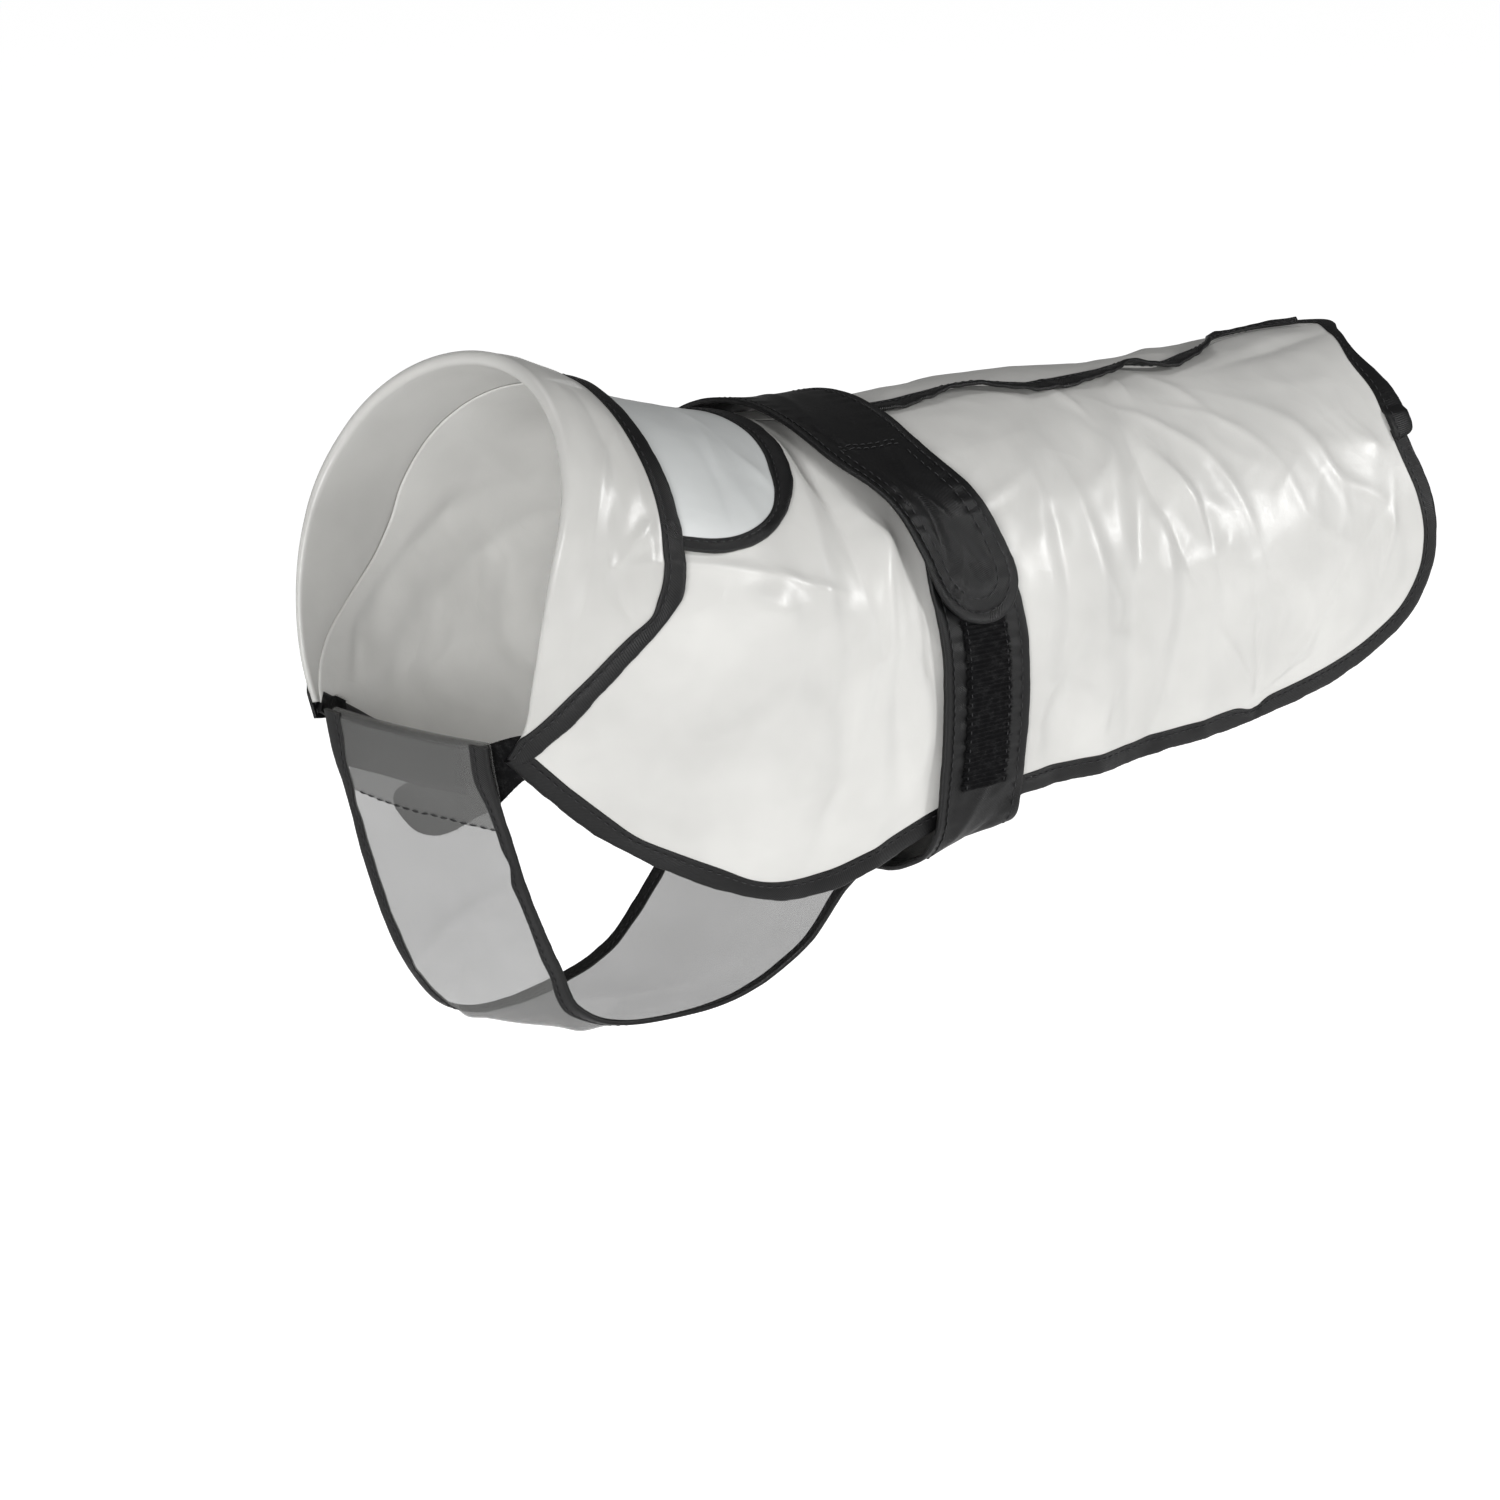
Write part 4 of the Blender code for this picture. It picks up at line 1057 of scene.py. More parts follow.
def stitch_mesh(name, rows, finish, pitch=None, length=None, radius=None):
    """Stitches along lines: each a spindle of thread bent down at both ends, all in one mesh."""
    pitch = (pitch or sizes().stitch_pitch) / MM
    length = (length or sizes().stitch_length) / MM
    radius = (radius or sizes().thread_radius) / MM
    ends = np.linspace(-1, 1, 6)
    turn = np.arange(5) * 2 * pi / 5
    girth = radius * np.sqrt(np.clip(1.02 - ends**2, 0.02, 1))
    dip = radius * (0.55 - 1.5 * np.abs(ends) ** 3)
    points, faces, base = [], [], 0
    for line, normal in rows:
        gone = distances(line)
        at = np.arange(pitch / 2, gone[-1] - pitch / 2, pitch)
        if not len(at):
            continue
        middle = np.stack([np.interp(at, gone, line[:, k]) for k in range(3)], -1)
        ahead = unit(np.stack([np.interp(at + 0.3, gone, line[:, k]) for k in range(3)], -1) - middle)
        up = unit(np.stack([np.interp(at, gone, normal[:, k]) for k in range(3)], -1))
        side = unit(np.cross(ahead, up))
        ahead = unit(ahead + side * 0.1 * np.sin(at * 1.7)[:, None])
        core = middle[:, None] + ahead[:, None] * (ends * length / 2)[None, :, None]
        core = core + up[:, None] * dip[None, :, None]
        round_it = side[:, None] * np.cos(turn)[None, :, None] + up[:, None] * np.sin(turn)[None, :, None]
        rings = core[:, :, None] + round_it[:, None] * girth[None, :, None, None]
        points.append(rings.reshape(-1, 3))
        quads = np.array(grid_faces(6, 5, True))
        caps = np.array([[4, 3, 2, 1, 0], [25, 26, 27, 28, 29]])
        starts = base + np.arange(len(at)) * 30
        faces += (quads[None] + starts[:, None, None]).reshape(-1, 4).tolist()
        faces += (caps[None] + starts[:, None, None]).reshape(-1, 5).tolist()
        base += len(at) * 30
    return add_mesh(name, np.concatenate(points), faces, finish, None, radians(80))


def fibre_mesh(name, roots, lean, length, finish, seed):
    """Loose fibres: from each root a thin three-sided thread that curls as it leaves, all in one mesh."""
    chance = np.random.default_rng(seed)
    count = len(roots)
    rise = unit(lean + chance.normal(0, 0.45, (count, 3)))
    curl = unit(np.cross(rise, chance.normal(0, 1, (count, 3))))
    reach = length * chance.uniform(0.4, 1, count)
    share = np.linspace(0, 1, 5)
    core = (
        roots[:, None]
        + rise[:, None] * (share * 0.9)[None, :, None] * reach[:, None, None]
        + curl[:, None] * (0.55 * share**2)[None, :, None] * reach[:, None, None]
    )
    side = unit(np.cross(rise, curl))
    turn = np.arange(3) * 2 * pi / 3
    round_it = side[:, None] * np.cos(turn)[None, :, None] + curl[:, None] * np.sin(turn)[None, :, None]
    girth = FIBRE_RADIUS * (1.1 - 0.8 * share)
    rings = core[:, :, None] + round_it[:, None] * girth[None, :, None, None]
    quads = np.array(grid_faces(5, 3, True))
    caps = np.array([[2, 1, 0], [12, 13, 14]])
    starts = np.arange(count) * 15
    faces = (quads[None] + starts[:, None, None]).reshape(-1, 4).tolist()
    faces += (caps[None] + starts[:, None, None]).reshape(-1, 3).tolist()
    return add_mesh(name, rings.reshape(-1, 3), faces, finish, None, radians(80))


# ---------------------------------------------------------------- materials


class Nodes:
    """Short calls that add and join nodes of one tree."""

    def __init__(self, tree):
        self.tree = tree

    def add(self, kind, inputs=(), **settings):
        node = self.tree.nodes.new(kind)
        for key, value in settings.items():
            setattr(node, key, value)
        for key, value in dict(inputs).items():
            self.feed(node.inputs[key], value)
        return node

    def feed(self, socket, value):
        if isinstance(value, bpy.types.NodeSocket):
            self.tree.links.new(value, socket)
        else:
            socket.default_value = value

    def maths(self, operation, a, b=0.0, c=0.0):
        node = self.tree.nodes.new("ShaderNodeMath")
        node.operation = operation
        for socket, value in zip(node.inputs, (a, b, c)):
            self.feed(socket, value)
        return node.outputs[0]

    def spread(self, value, low, high, to_low=0.0, to_high=1.0):
        """A value from low to high carried over to another range."""
        node = self.add("ShaderNodeMapRange", {"Value": value, "From Min": low, "From Max": high})
        node.inputs["To Min"].default_value = to_low
        node.inputs["To Max"].default_value = to_high
        return node.outputs[0]

    def mix(self, share, a, b):
        node = self.add("ShaderNodeMix", data_type="RGBA")
        self.feed(node.inputs[0], share)
        for socket, value in ((node.inputs[6], a), (node.inputs[7], b)):
            self.feed(socket, (*value, 1) if isinstance(value, tuple) else value)
        return node.outputs[2]


def new_group(name, takes, gives):
    """An empty shader group with named float inputs and their values, and named outputs."""
    group = bpy.data.node_groups.new(name, "ShaderNodeTree")
    for label, value in takes.items():
        kind = "NodeSocketVector" if value is None else "NodeSocketFloat"
        socket = group.interface.new_socket(label, in_out="INPUT", socket_type=kind)
        if value is not None:
            socket.default_value = value
    for label in gives:
        group.interface.new_socket(label, in_out="OUTPUT", socket_type="NodeSocketFloat")
    made = Nodes(group)
    return made, made.add("NodeGroupInput").outputs, made.add("NodeGroupOutput").inputs


def film_group():
    """Frosting of the film: wide clouds, a fine mottle, and shallow creases, from three noises."""
    name = "Frosted film"
    if name in bpy.data.node_groups:
        return bpy.data.node_groups[name]
    made, takes, gives = new_group(name, {"Place": None, "Seed": 0.0}, ("Cloud", "Mottle", "Relief"))
    wide = made.add(
        "ShaderNodeTexNoise", {"Vector": takes["Place"], "W": takes["Seed"], "Scale": 14.0, "Detail": 3.0},
        noise_dimensions="4D",
    )
    fine = made.add(
        "ShaderNodeTexNoise", {"Vector": takes["Place"], "W": takes["Seed"], "Scale": 900.0, "Detail": 2.0},
        noise_dimensions="4D",
    )
    soft = made.add(
        "ShaderNodeTexNoise",
        {"Vector": takes["Place"], "W": takes["Seed"], "Scale": 34.0, "Detail": 2.0, "Distortion": 0.6},
        noise_dimensions="4D",
    )
    ridged = made.maths("ABSOLUTE", made.maths("SUBTRACT", soft.outputs[0], 0.5))
    grainy = made.maths("MULTIPLY", fine.outputs[0], 0.2)
    relief = made.maths("MULTIPLY_ADD", made.spread(ridged, 0.0, 0.16, 1.0, 0.0), 0.8, grainy)
    made.feed(gives["Cloud"], made.spread(wide.outputs[0], 0.3, 0.7))
    made.feed(gives["Mottle"], made.spread(fine.outputs[0], 0.3, 0.7))
    made.feed(gives["Relief"], relief)
    return made.tree


def twill_group():
    """Nylon twill: diagonal ribs crossed by finer yarns, and where a rib catches the light, from the piece's UV."""
    name = "Nylon twill"
    if name in bpy.data.node_groups:
        return bpy.data.node_groups[name]
    made, takes, gives = new_group(name, {"Cloth": None, "Pitch": 0.001}, ("Rib", "Yarn", "Sheen patch"))
    split = made.add("ShaderNodeSeparateXYZ", {0: takes["Cloth"]})
    u, v = split.outputs[0], split.outputs[1]
    per_metre = made.maths("DIVIDE", 2 * pi, takes["Pitch"])
    slant = made.maths("ADD", u, made.maths("MULTIPLY", v, 0.8))
    rib = made.maths("SINE", made.maths("MULTIPLY", slant, per_metre))
    cross = made.maths("SUBTRACT", made.maths("MULTIPLY", v, 1.9), u)
    yarn = made.maths("SINE", made.maths("MULTIPLY", cross, made.maths("MULTIPLY", per_metre, 1.3)))
    patch = made.add("ShaderNodeTexNoise", {"Vector": takes["Cloth"], "Scale": 60.0, "Detail": 3.0})
    made.feed(gives["Rib"], made.spread(rib, -1.0, 1.0))
    made.feed(gives["Yarn"], made.spread(yarn, -1.0, 1.0))
    made.feed(gives["Sheen patch"], made.spread(patch.outputs[0], 0.3, 0.7))
    return made.tree


def start_material(name, display):
    """A new material, its node maker and its shader."""
    made = bpy.data.materials.new(name)
    made.use_nodes = True
    made.diffuse_color = (*display, 1)
    return made, Nodes(made.node_tree), made.node_tree.nodes["Principled BSDF"]


def film_material(name="frosted_film_back", colour=None, cover=None, seed=0.0, gloss=0.5):
    """Frosted PVC: milky, soft gloss, slightly clearer in patches."""
    if name in bpy.data.materials:
        return bpy.data.materials[name]
    colour = tuple(colour or colours().film)
    cover = cover or colours().film_cover
    made, nodes, shader = start_material(name, colour)
    place = nodes.add("ShaderNodeTexCoord").outputs["Object"]
    frost = nodes.add("ShaderNodeGroup", node_tree=film_group())
    nodes.feed(frost.inputs["Place"], place)
    frost.inputs["Seed"].default_value = seed
    cloud, mottle, relief = (frost.outputs[key] for key in ("Cloud", "Mottle", "Relief"))
    pale = tuple(min(1, value * 1.06) for value in colour)
    dull = tuple(value * 0.9 for value in colour)
    nodes.feed(shader.inputs["Base Color"], nodes.mix(cloud, dull, pale))
    nodes.feed(shader.inputs["Alpha"], nodes.spread(cloud, 0.0, 1.0, cover - 0.03, cover + 0.03))
    nodes.feed(shader.inputs["Roughness"], nodes.spread(mottle, 0.0, 1.0, 0.28, 0.4))
    bump = nodes.add("ShaderNodeBump", {"Height": relief, "Strength": 0.22, "Distance": 0.0006})
    nodes.feed(shader.inputs["Normal"], bump.outputs[0])
    shader.inputs["IOR"].default_value = 1.5
    shader.inputs["Specular IOR Level"].default_value = gloss
    return made


def nylon_material():
    """Black nylon: satin twill whose ribs and worn patches catch the light, with a painted highlight on the ribs'
    crests.
    """
    name = "black_nylon_twill"
    if name in bpy.data.materials:
        return bpy.data.materials[name]
    colour = tuple(colours().nylon)
    made, nodes, shader = start_material(name, colour)
    cloth = nodes.add("ShaderNodeTexCoord").outputs["UV"]
    twill = nodes.add("ShaderNodeGroup", node_tree=twill_group())
    nodes.feed(twill.inputs["Cloth"], cloth)
    twill.inputs["Pitch"].default_value = sizes().twill_pitch
    rib, yarn, patch = (twill.outputs[key] for key in ("Rib", "Yarn", "Sheen patch"))
    weave = nodes.maths("MULTIPLY_ADD", rib, 0.7, nodes.maths("MULTIPLY", yarn, 0.3))
    # painted highlight: the base colour runs from the nylon's own colour to 2.4 times it on the crests of the ribs
    # and yarns
    painted_highlight = tuple(value * 2.4 for value in colour)
    nodes.feed(shader.inputs["Base Color"], nodes.mix(weave, colour, painted_highlight))
    rough = nodes.maths("MULTIPLY_ADD", patch, 0.16, nodes.spread(weave, 0.0, 1.0, 0.3, 0.22))
    nodes.feed(shader.inputs["Roughness"], rough)
    bump = nodes.add("ShaderNodeBump", {"Height": weave, "Strength": 0.5, "Distance": 0.00022})
    nodes.feed(shader.inputs["Normal"], bump.outputs[0])
    shader.inputs["Specular IOR Level"].default_value = 0.34
    return made


def loop_material():
    """Loop tape: a dense pile of tiny curls, dull, with a few grey ends."""
    name = "loop_tape"
    if name in bpy.data.materials:
        return bpy.data.materials[name]
    colour = tuple(colours().loop_tape)
    made, nodes, shader = start_material(name, colour)
    place = nodes.add("ShaderNodeTexCoord").outputs["Object"]
    curls = nodes.add("ShaderNodeTexNoise", {"Vector": place, "Scale": 1500.0, "Detail": 3.0, "Distortion": 1.2})
    tufts = nodes.add("ShaderNodeTexNoise", {"Vector": place, "Scale": 260.0, "Detail": 2.0})
    both = nodes.maths("MULTIPLY", curls.outputs[0], nodes.spread(tufts.outputs[0], 0.3, 0.7, 0.5, 1.0))
    grey = tuple(0.017 + value for value in colour)
    nodes.feed(shader.inputs["Base Color"], nodes.mix(nodes.spread(both, 0.38, 0.62), colour, grey))
    nodes.feed(shader.inputs["Roughness"], nodes.spread(both, 0.2, 0.7, 0.95, 0.75))
    bump = nodes.add("ShaderNodeBump", {"Height": both, "Strength": 0.5, "Distance": 0.0004})
    shader.inputs["Specular IOR Level"].default_value = 0.15
    nodes.feed(shader.inputs["Normal"], bump.outputs[0])
    return made


def thread_material():
    """Black thread, twisted from two plies."""
    name = "black_thread"
    if name in bpy.data.materials:
        return bpy.data.materials[name]
    colour = tuple(colours().thread)
    made, nodes, shader = start_material(name, colour)
    place = nodes.add("ShaderNodeTexCoord").outputs["Object"]
    ply = nodes.add("ShaderNodeTexNoise", {"Vector": place, "Scale": 2600.0, "Detail": 1.0})
    # painted highlight: the base colour runs from the thread's own colour to three times it where the plies' noise
    # is high
    painted_highlight = tuple(value * 3 for value in colour)
    nodes.feed(shader.inputs["Base Color"], nodes.mix(ply.outputs[0], colour, painted_highlight))
    nodes.feed(shader.inputs["Roughness"], nodes.spread(ply.outputs[0], 0.3, 0.7, 0.45, 0.65))
    return made


def finish_piece(piece, slot, *nodes):
    """Rides on the coat's one body and stands for CAD nodes, which it hides; `slot` is not used."""
    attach(piece, "root")
    if nodes:
        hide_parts(*nodes)
    return piece


# ---------------------------------------------------------------- pieces


class RAINCOAT_OT_back_panels(bpy.types.Operator):
    """Two frosted back panels, each a patch ruled between its seam, hem, neck and rear edges"""

    bl_idname = "raincoat.back_panels"
    bl_label = "Back panels"

    def execute(self, context):
        line, at, knots = coat_outline()
        trimmed = line + leftward(line) * 3
        tail = len(NEAR_EDGE) - 1
        corner = np.searchsorted(at, (knots[REAR_CORNER], knots[tail], knots[2 * tail - REAR_CORNER]))
        near = panel_patch(trimmed[: corner[1] + 1], corner[0], -1, PANEL_ROWS, PANEL_COLUMNS)
        far = panel_patch(trimmed[corner[1] :][::-1], len(at) - 1 - corner[2], 1, PANEL_ROWS, PANEL_COLUMNS)
        for name, node, patch, width, area in (
            ("near_back_film", "back_panel_near", near[:, ::-1], 0.253, 0.106),
            ("far_back_film", "back_panel_far", far, 0.24, 0.102),
        ):
            loose = ease(np.linspace(0, 1, PANEL_COLUMNS) * 12)[:: -1 if node == "back_panel_near" else 1]
            from_hem = np.hypot(*(patch[:, :, None] - line[::5]).transpose(3, 0, 1, 2)).min(-1)
            loose = loose * ease((from_hem - HEM_CLEAR) / HEM_FADE)
            bulge = crumple(patch[..., 0], patch[..., 1]) * open_film(patch[..., 0], patch[..., 1]) * loose
            points = coat(patch[..., 0], patch[..., 1], FILM / 2 + bulge)
            piece = finish_piece(add_sheet(name, points, film_material()), "frosted_film", node)
        return {"FINISHED"}


class RAINCOAT_OT_hem_bindings(bpy.types.Operator):
    """Folded bindings of both hems; the far one runs over the tail and laps onto the near side"""

    bl_idname = "raincoat.hem_bindings"
    bl_label = "Hem bindings"

    def execute(self, context):
        line = coat_outline()[0]
        width = np.full(len(line), TAPE_WIDTH)
        for pinch in HEM_PINCHES:
            gone = np.hypot(line[:, 0] - pinch.along, line[:, 1] - pinch.across)
            width *= 1 - pinch.share * np.exp(-((gone / pinch.length) ** 2))
        inner = line + leftward(line) * width[:, None]
        fades_from, fades_to = LAP_FADES
        lap = LAP_PROUD * ease((fades_to - line[:, 1]) / (fades_to - fades_from))
        outer = line - leftward(line) * lap[:, None]
        end = np.argmax((line[:, 0] > RINGS[-3].x) & (line[:, 1] > LAP_END))
        begun = np.clip(distances(outer[end:]) / LAP_ROUND, 0, 1)[:, None]
        rounded = 0.35 + 0.65 * np.sqrt(1 - (1 - begun) ** 2)
        outer[end:] = inner[end:] + (outer[end:] - inner[end:]) * rounded
        rows = []
        for name, node, first, second in (
            ("near_hem_binding", "hem_tape_near", line[: end + 6], inner[: end + 6]),
            ("far_hem_binding", "hem_tape_far", outer[end:], inner[end:]),
        ):
            height = np.full(len(first), TAPE_LOW)
            if node == "hem_tape_far":
                height[:LAP_ROWS] += LAP_LIFT
            piece, stitched = add_binding(name, on_coat, first, second, height, TAPE, len(rows) + 0.3)
            finish_piece(piece, "black_nylon", node)
            rows += stitched
        finish_piece(stitch_mesh("hem_stitches", rows, thread_material()), "black_nylon")
        return {"FINISHED"}


class RAINCOAT_OT_seam_binding(bpy.types.Operator):
    """Bound seam down the back: the binding's section stood on the seam and tipped by the table's flop"""

    bl_idname = "raincoat.seam_binding"
    bl_label = "Back seam"

    def execute(self, context):
        along = np.linspace(RIDGE_START, RIDGE_END, round((RIDGE_END - RIDGE_START) / BINDING_STEP) + 1)
        across, flop = read_table(SEAM, along)
        flop = np.radians(flop + 5 * waver(along, 42, 0.4))[:, None]
        place, normal, sideways = coat_frame(along, across)
        foot = place + normal * (FILM + GAP + TAPE / 2 * np.abs(np.sin(flop)))
        rising = normal * np.cos(flop) - sideways * np.sin(flop)
        facing = normal * np.sin(flop) + sideways * np.cos(flop)
        share, level, drawn = BINDING.T
        far_side = ease((along - RIDGE_CROSSES) / RIDGE_CROSS_FADE)
        tall = RIDGE_HEIGHT * (1 + 0.04 * waver(along, 60, 1.3) - RIDGE_NARROWS * far_side)[:, None]
        height = tall * (1 - share)
        depth = sizes().pucker / MM * pull_in(along, 0.8)[:, None] * drawn
        thick = (level - 0.5) * TAPE * 0.9 - np.sign(level - 0.5) * depth
        points = foot[:, None] + rising[:, None] * height[..., None] + facing[:, None] * thick[..., None]
        piece = outward_tube("back_seam_binding", points, nylon_material())
        finish_piece(piece, "black_nylon", "back_seam_tape")
        rows = []
        for face in (1, -1):
            up = facing * face
            rows.append((foot + rising * tall * (1 - STITCH_SHARE) + up * TAPE * 0.32, up))
        finish_piece(stitch_mesh("back_seam_stitches", rows, thread_material()), "black_nylon")
        return {"FINISHED"}


class RAINCOAT_OT_collar(bpy.types.Operator):
    """Turned-down collar: from the neck seam up to its fold line, half a turn, and down to its bound edge"""

    bl_idname = "raincoat.collar"
    bl_label = "Collar"

    def execute(self, context):
        across = np.linspace(-COLLAR_FILM_END, COLLAR_FILM_END, 320)
        fold = read_table(NECK, across)[0]
        stand, fall, rise = (column[:, None] for column in read_table(COLLAR, np.abs(across)))
        fold = fold[:, None]
        radius = (rise - FILM) / 2 + FILM / 2
        middle = fold + radius + FILM / 2
        level = FILM / 2
        up = np.linspace(0, 1, 16)[None]
        turn = np.linspace(0, pi, 12)[None]
        down = np.linspace(0, 1, 34)[None, 1:]
        seam, edge = fold + stand + 1.5, fold + fall - 3
        rest = np.zeros((len(across), 1))
        stand_along, stand_height = seam + (middle - seam) * up[:, :-1], level + 0.7 * (1 - up[:, :-1]) + rest
        turn_along, turn_height = middle - radius * np.sin(turn), level + radius * (1 - np.cos(turn))
        fall_along, fall_height = middle + (edge - middle) * down, rise + level + rest + 0 * down
        grid_across = np.broadcast_to(across[:, None], fall_along.shape)
        free = ease(down * 4) * ease((edge - fall_along - 6) / 10)
        bulge = crease_height(fall_along - fold, grid_across, COLLAR_CREASES) + 0.5 * crumple(
            1.5 * fall_along, 0.8 * grid_across
        )
        fall_height = fall_height + free * (bulge + 0.9 * ease((150 - np.abs(grid_across)) / 40))
        along = np.concatenate([stand_along, turn_along, fall_along], 1)
        height = np.concatenate([stand_height, turn_height, fall_height], 1)
        points = coat(along, np.broadcast_to(across[:, None], along.shape), height)
        film = film_material("frosted_film_thin", cover=colours().collar_cover, seed=2.0, gloss=0.8)
        piece = finish_piece(add_sheet("collar_film", points[::-1], film), "frosted_film", "collar")
        return {"FINISHED"}


class RAINCOAT_OT_collar_binding(bpy.types.Operator):
    """Folded binding of the collar's edge"""

    bl_idname = "raincoat.collar_binding"
    bl_label = "Collar binding"

    def execute(self, context):
        across = np.linspace(-COLLAR_TAPE_END, COLLAR_TAPE_END, 400)
        fold = read_table(NECK, across)[0]
        _, fall, rise = read_table(COLLAR, np.abs(across))
        width = np.minimum(TAPE_WIDTH, fall)
        width = width * (1 - 0.26 * np.exp(-(((across + 133) / 6) ** 2)))
        outer = np.stack([fold + fall, across], -1)
        inner = np.stack([fold + fall - width, across], -1)
        piece, rows = add_binding("collar_binding", on_coat, outer, inner, rise + TAPE_LOW, TAPE, 1.9)
        finish_piece(piece, "black_nylon", "collar_tape")
        finish_piece(stitch_mesh("collar_stitches", rows, thread_material()), "black_nylon")
        return {"FINISHED"}


def flap_reach(sideways, length, half_width):
    """How far the flap's rounded end reaches past its shoulder: a superellipse."""
    share = np.clip(np.abs(sideways) / half_width, 0, 1)
    return length * (1 - share**FLAP_ROUNDNESS) ** (1 / FLAP_ROUNDNESS)


def on_flap(places, height):
    """Over the coat, with the flap's own creases away from its root."""
    along, across = places[..., 0], places[..., 1]
    own = (crease_height(along, across, FLAP_CREASES) + 0.3 * crumple(1.4 * along + 60, across)) * ease(
        (along - FLAP_SHOULDER) / 20
    )
    return coat(along, across, height + own)


class RAINCOAT_OT_flap(bpy.types.Operator):
    """Round flap over the shoulders: a rounded oblong laid over the coat"""

    bl_idname = "raincoat.flap"
    bl_label = "Flap"

    def execute(self, context):
        sweep = np.sin(np.linspace(-pi / 2, pi / 2, 150))
        sideways = sweep * (FLAP_HALF_WIDTH - 3)
        reach = FLAP_SHOULDER + flap_reach(sideways, FLAP_LENGTH - 3, FLAP_HALF_WIDTH - 3)
        share = np.linspace(0, 1, 80)[:, None]
        along = FLAP_ROOT - 2 + (reach - FLAP_ROOT + 2) * share
        patch = np.stack([along, np.broadcast_to(FLAP_MIDDLE + sideways, along.shape)], -1)
        points = on_flap(patch, FLAP_LOW + FILM / 2 + 0.5)
        film = film_material("frosted_film_flap", colours().flap_film, FLAP_COVER, 5.0, 0.8)
        piece = finish_piece(add_sheet("flap_film", points, film), "frosted_film", "shoulder_flap")
        return {"FINISHED"}


class RAINCOAT_OT_flap_binding(bpy.types.Operator):
    """Folded binding of the flap's edge"""

    bl_idname = "raincoat.flap_binding"
    bl_label = "Flap binding"

    def execute(self, context):
        turn = np.linspace(-pi / 2, pi / 2, 400)
        power = 2 / FLAP_ROUNDNESS
        sideways = FLAP_HALF_WIDTH * np.sign(turn) * np.abs(np.sin(turn)) ** power
        reach = FLAP_SHOULDER + FLAP_LENGTH * np.abs(np.cos(turn)) ** power
        line = np.stack([reach, FLAP_MIDDLE + sideways], -1)
        root = np.array([[FLAP_ROOT, line[0, 1]], [FLAP_ROOT, line[-1, 1]]])
        line = evenly(np.concatenate([root[:1], line, root[1:]]), FLAP_TAPE_POINTS)
        width = TAPE_WIDTH - 4 * ease((-62 - line[:, 1]) / 26) * ease((line[:, 0] - FLAP_ROOT) / 10)
        inner = line + leftward(line) * width[:, None]
        low = np.full(FLAP_TAPE_POINTS, FLAP_LOW)
        piece, rows = add_binding("flap_binding", on_flap, line, inner, low, TAPE, 2.7)
        finish_piece(piece, "black_nylon", "flap_tape")
        finish_piece(stitch_mesh("flap_stitches", rows[:1], thread_material()), "black_nylon")
        return {"FINISHED"}


def strap_ends():
    """Half width at the tip, and the run of the hidden end."""
    over, under = strap_lengths()
    return float(strap_middle(0.0)[2][1]) / 2, float(over + under + STRAP_LEAVES + STRAP_HIDDEN_END)


def strap_puckers(run, sideways, half):
    """Short ripples along both stitched edges of the strap, square to them."""
    near_edge = np.exp(-(((np.abs(sideways) - half + 9) / 5) ** 2))
    return near_edge * 0.32 * np.sin(2 * pi * run / 8.4 + np.sign(sideways) * 1.3 + 1.5 * waver(run, 61, 0.7))


class RAINCOAT_OT_strap(bpy.types.Operator):
    """Doubled nylon belly strap: one band from its tip over the back, under the belly and up the near flank"""

    bl_idname = "raincoat.strap"
    bl_label = "Belly strap"

    def execute(self, context):
        radius, end = strap_ends()
        trim = STRAP_TAPE - 1.5
        tip = radius - (radius - trim) * np.cos(np.radians(np.linspace(6, 84, 14)))
        runs = np.concatenate([tip, np.linspace(radius, end, round((end - radius) / 1.7))])
        widths = strap_middle(runs)[2][1] / 2
        round_tip = (radius - trim) * np.sqrt(np.clip(1 - ((radius - runs) / (radius - trim)) ** 2, 0, 1))
        halves = np.where(runs < radius, round_tip, widths - trim)
        section = np.concatenate([np.linspace(-1, 1, 26), np.linspace(1, -1, 26)])
        top = np.concatenate([np.zeros(26), np.ones(26)])
        run, half = runs[:, None], halves[:, None]
        sideways = half * section
        ripple = strap_puckers(run, sideways, widths[:, None])
        from_tip = radius - np.hypot(radius - run, sideways)
        inset = np.where(run < radius, from_tip, widths[:, None] - np.abs(sideways))
        padded = ease((inset - PATCH_INSET) / 2.5) * ease((PATCH_LENGTH - run) / 3) * 0.7
        height = top * (WEBBING + ripple + padded)
        points = strap_place(run, sideways, height)
        piece = outward_tube("strap_webbing", points, nylon_material())
        finish_piece(piece, "black_nylon", "belly_strap")
        rows = []
        turns = np.radians(np.linspace(-90, 90, 40))
        bend = radius - PATCH_INSET
        round_end = np.stack([radius - bend * np.cos(turns), bend * np.sin(turns)], -1)
        long_runs = np.linspace(radius, PATCH_LENGTH, 30)[1:]
        long_side = np.stack([long_runs, strap_middle(long_runs)[2][1] / 2 - PATCH_INSET], -1)
        loop = np.concatenate([(long_side * (1, -1))[::-1], round_end, long_side])
        across_it = evenly(loop[[-1, 0]], 40)
        for at in (loop, across_it, across_it + (2.4, 0)):
            place = strap_place(at[:, 0], at[:, 1], WEBBING + 0.3)
            rows.append((place, unit(strap_place(at[:, 0], at[:, 1], WEBBING + 1.3) - place)))
        finish_piece(stitch_mesh("strap_patch_stitches", rows, thread_material()), "black_nylon")
        return {"FINISHED"}


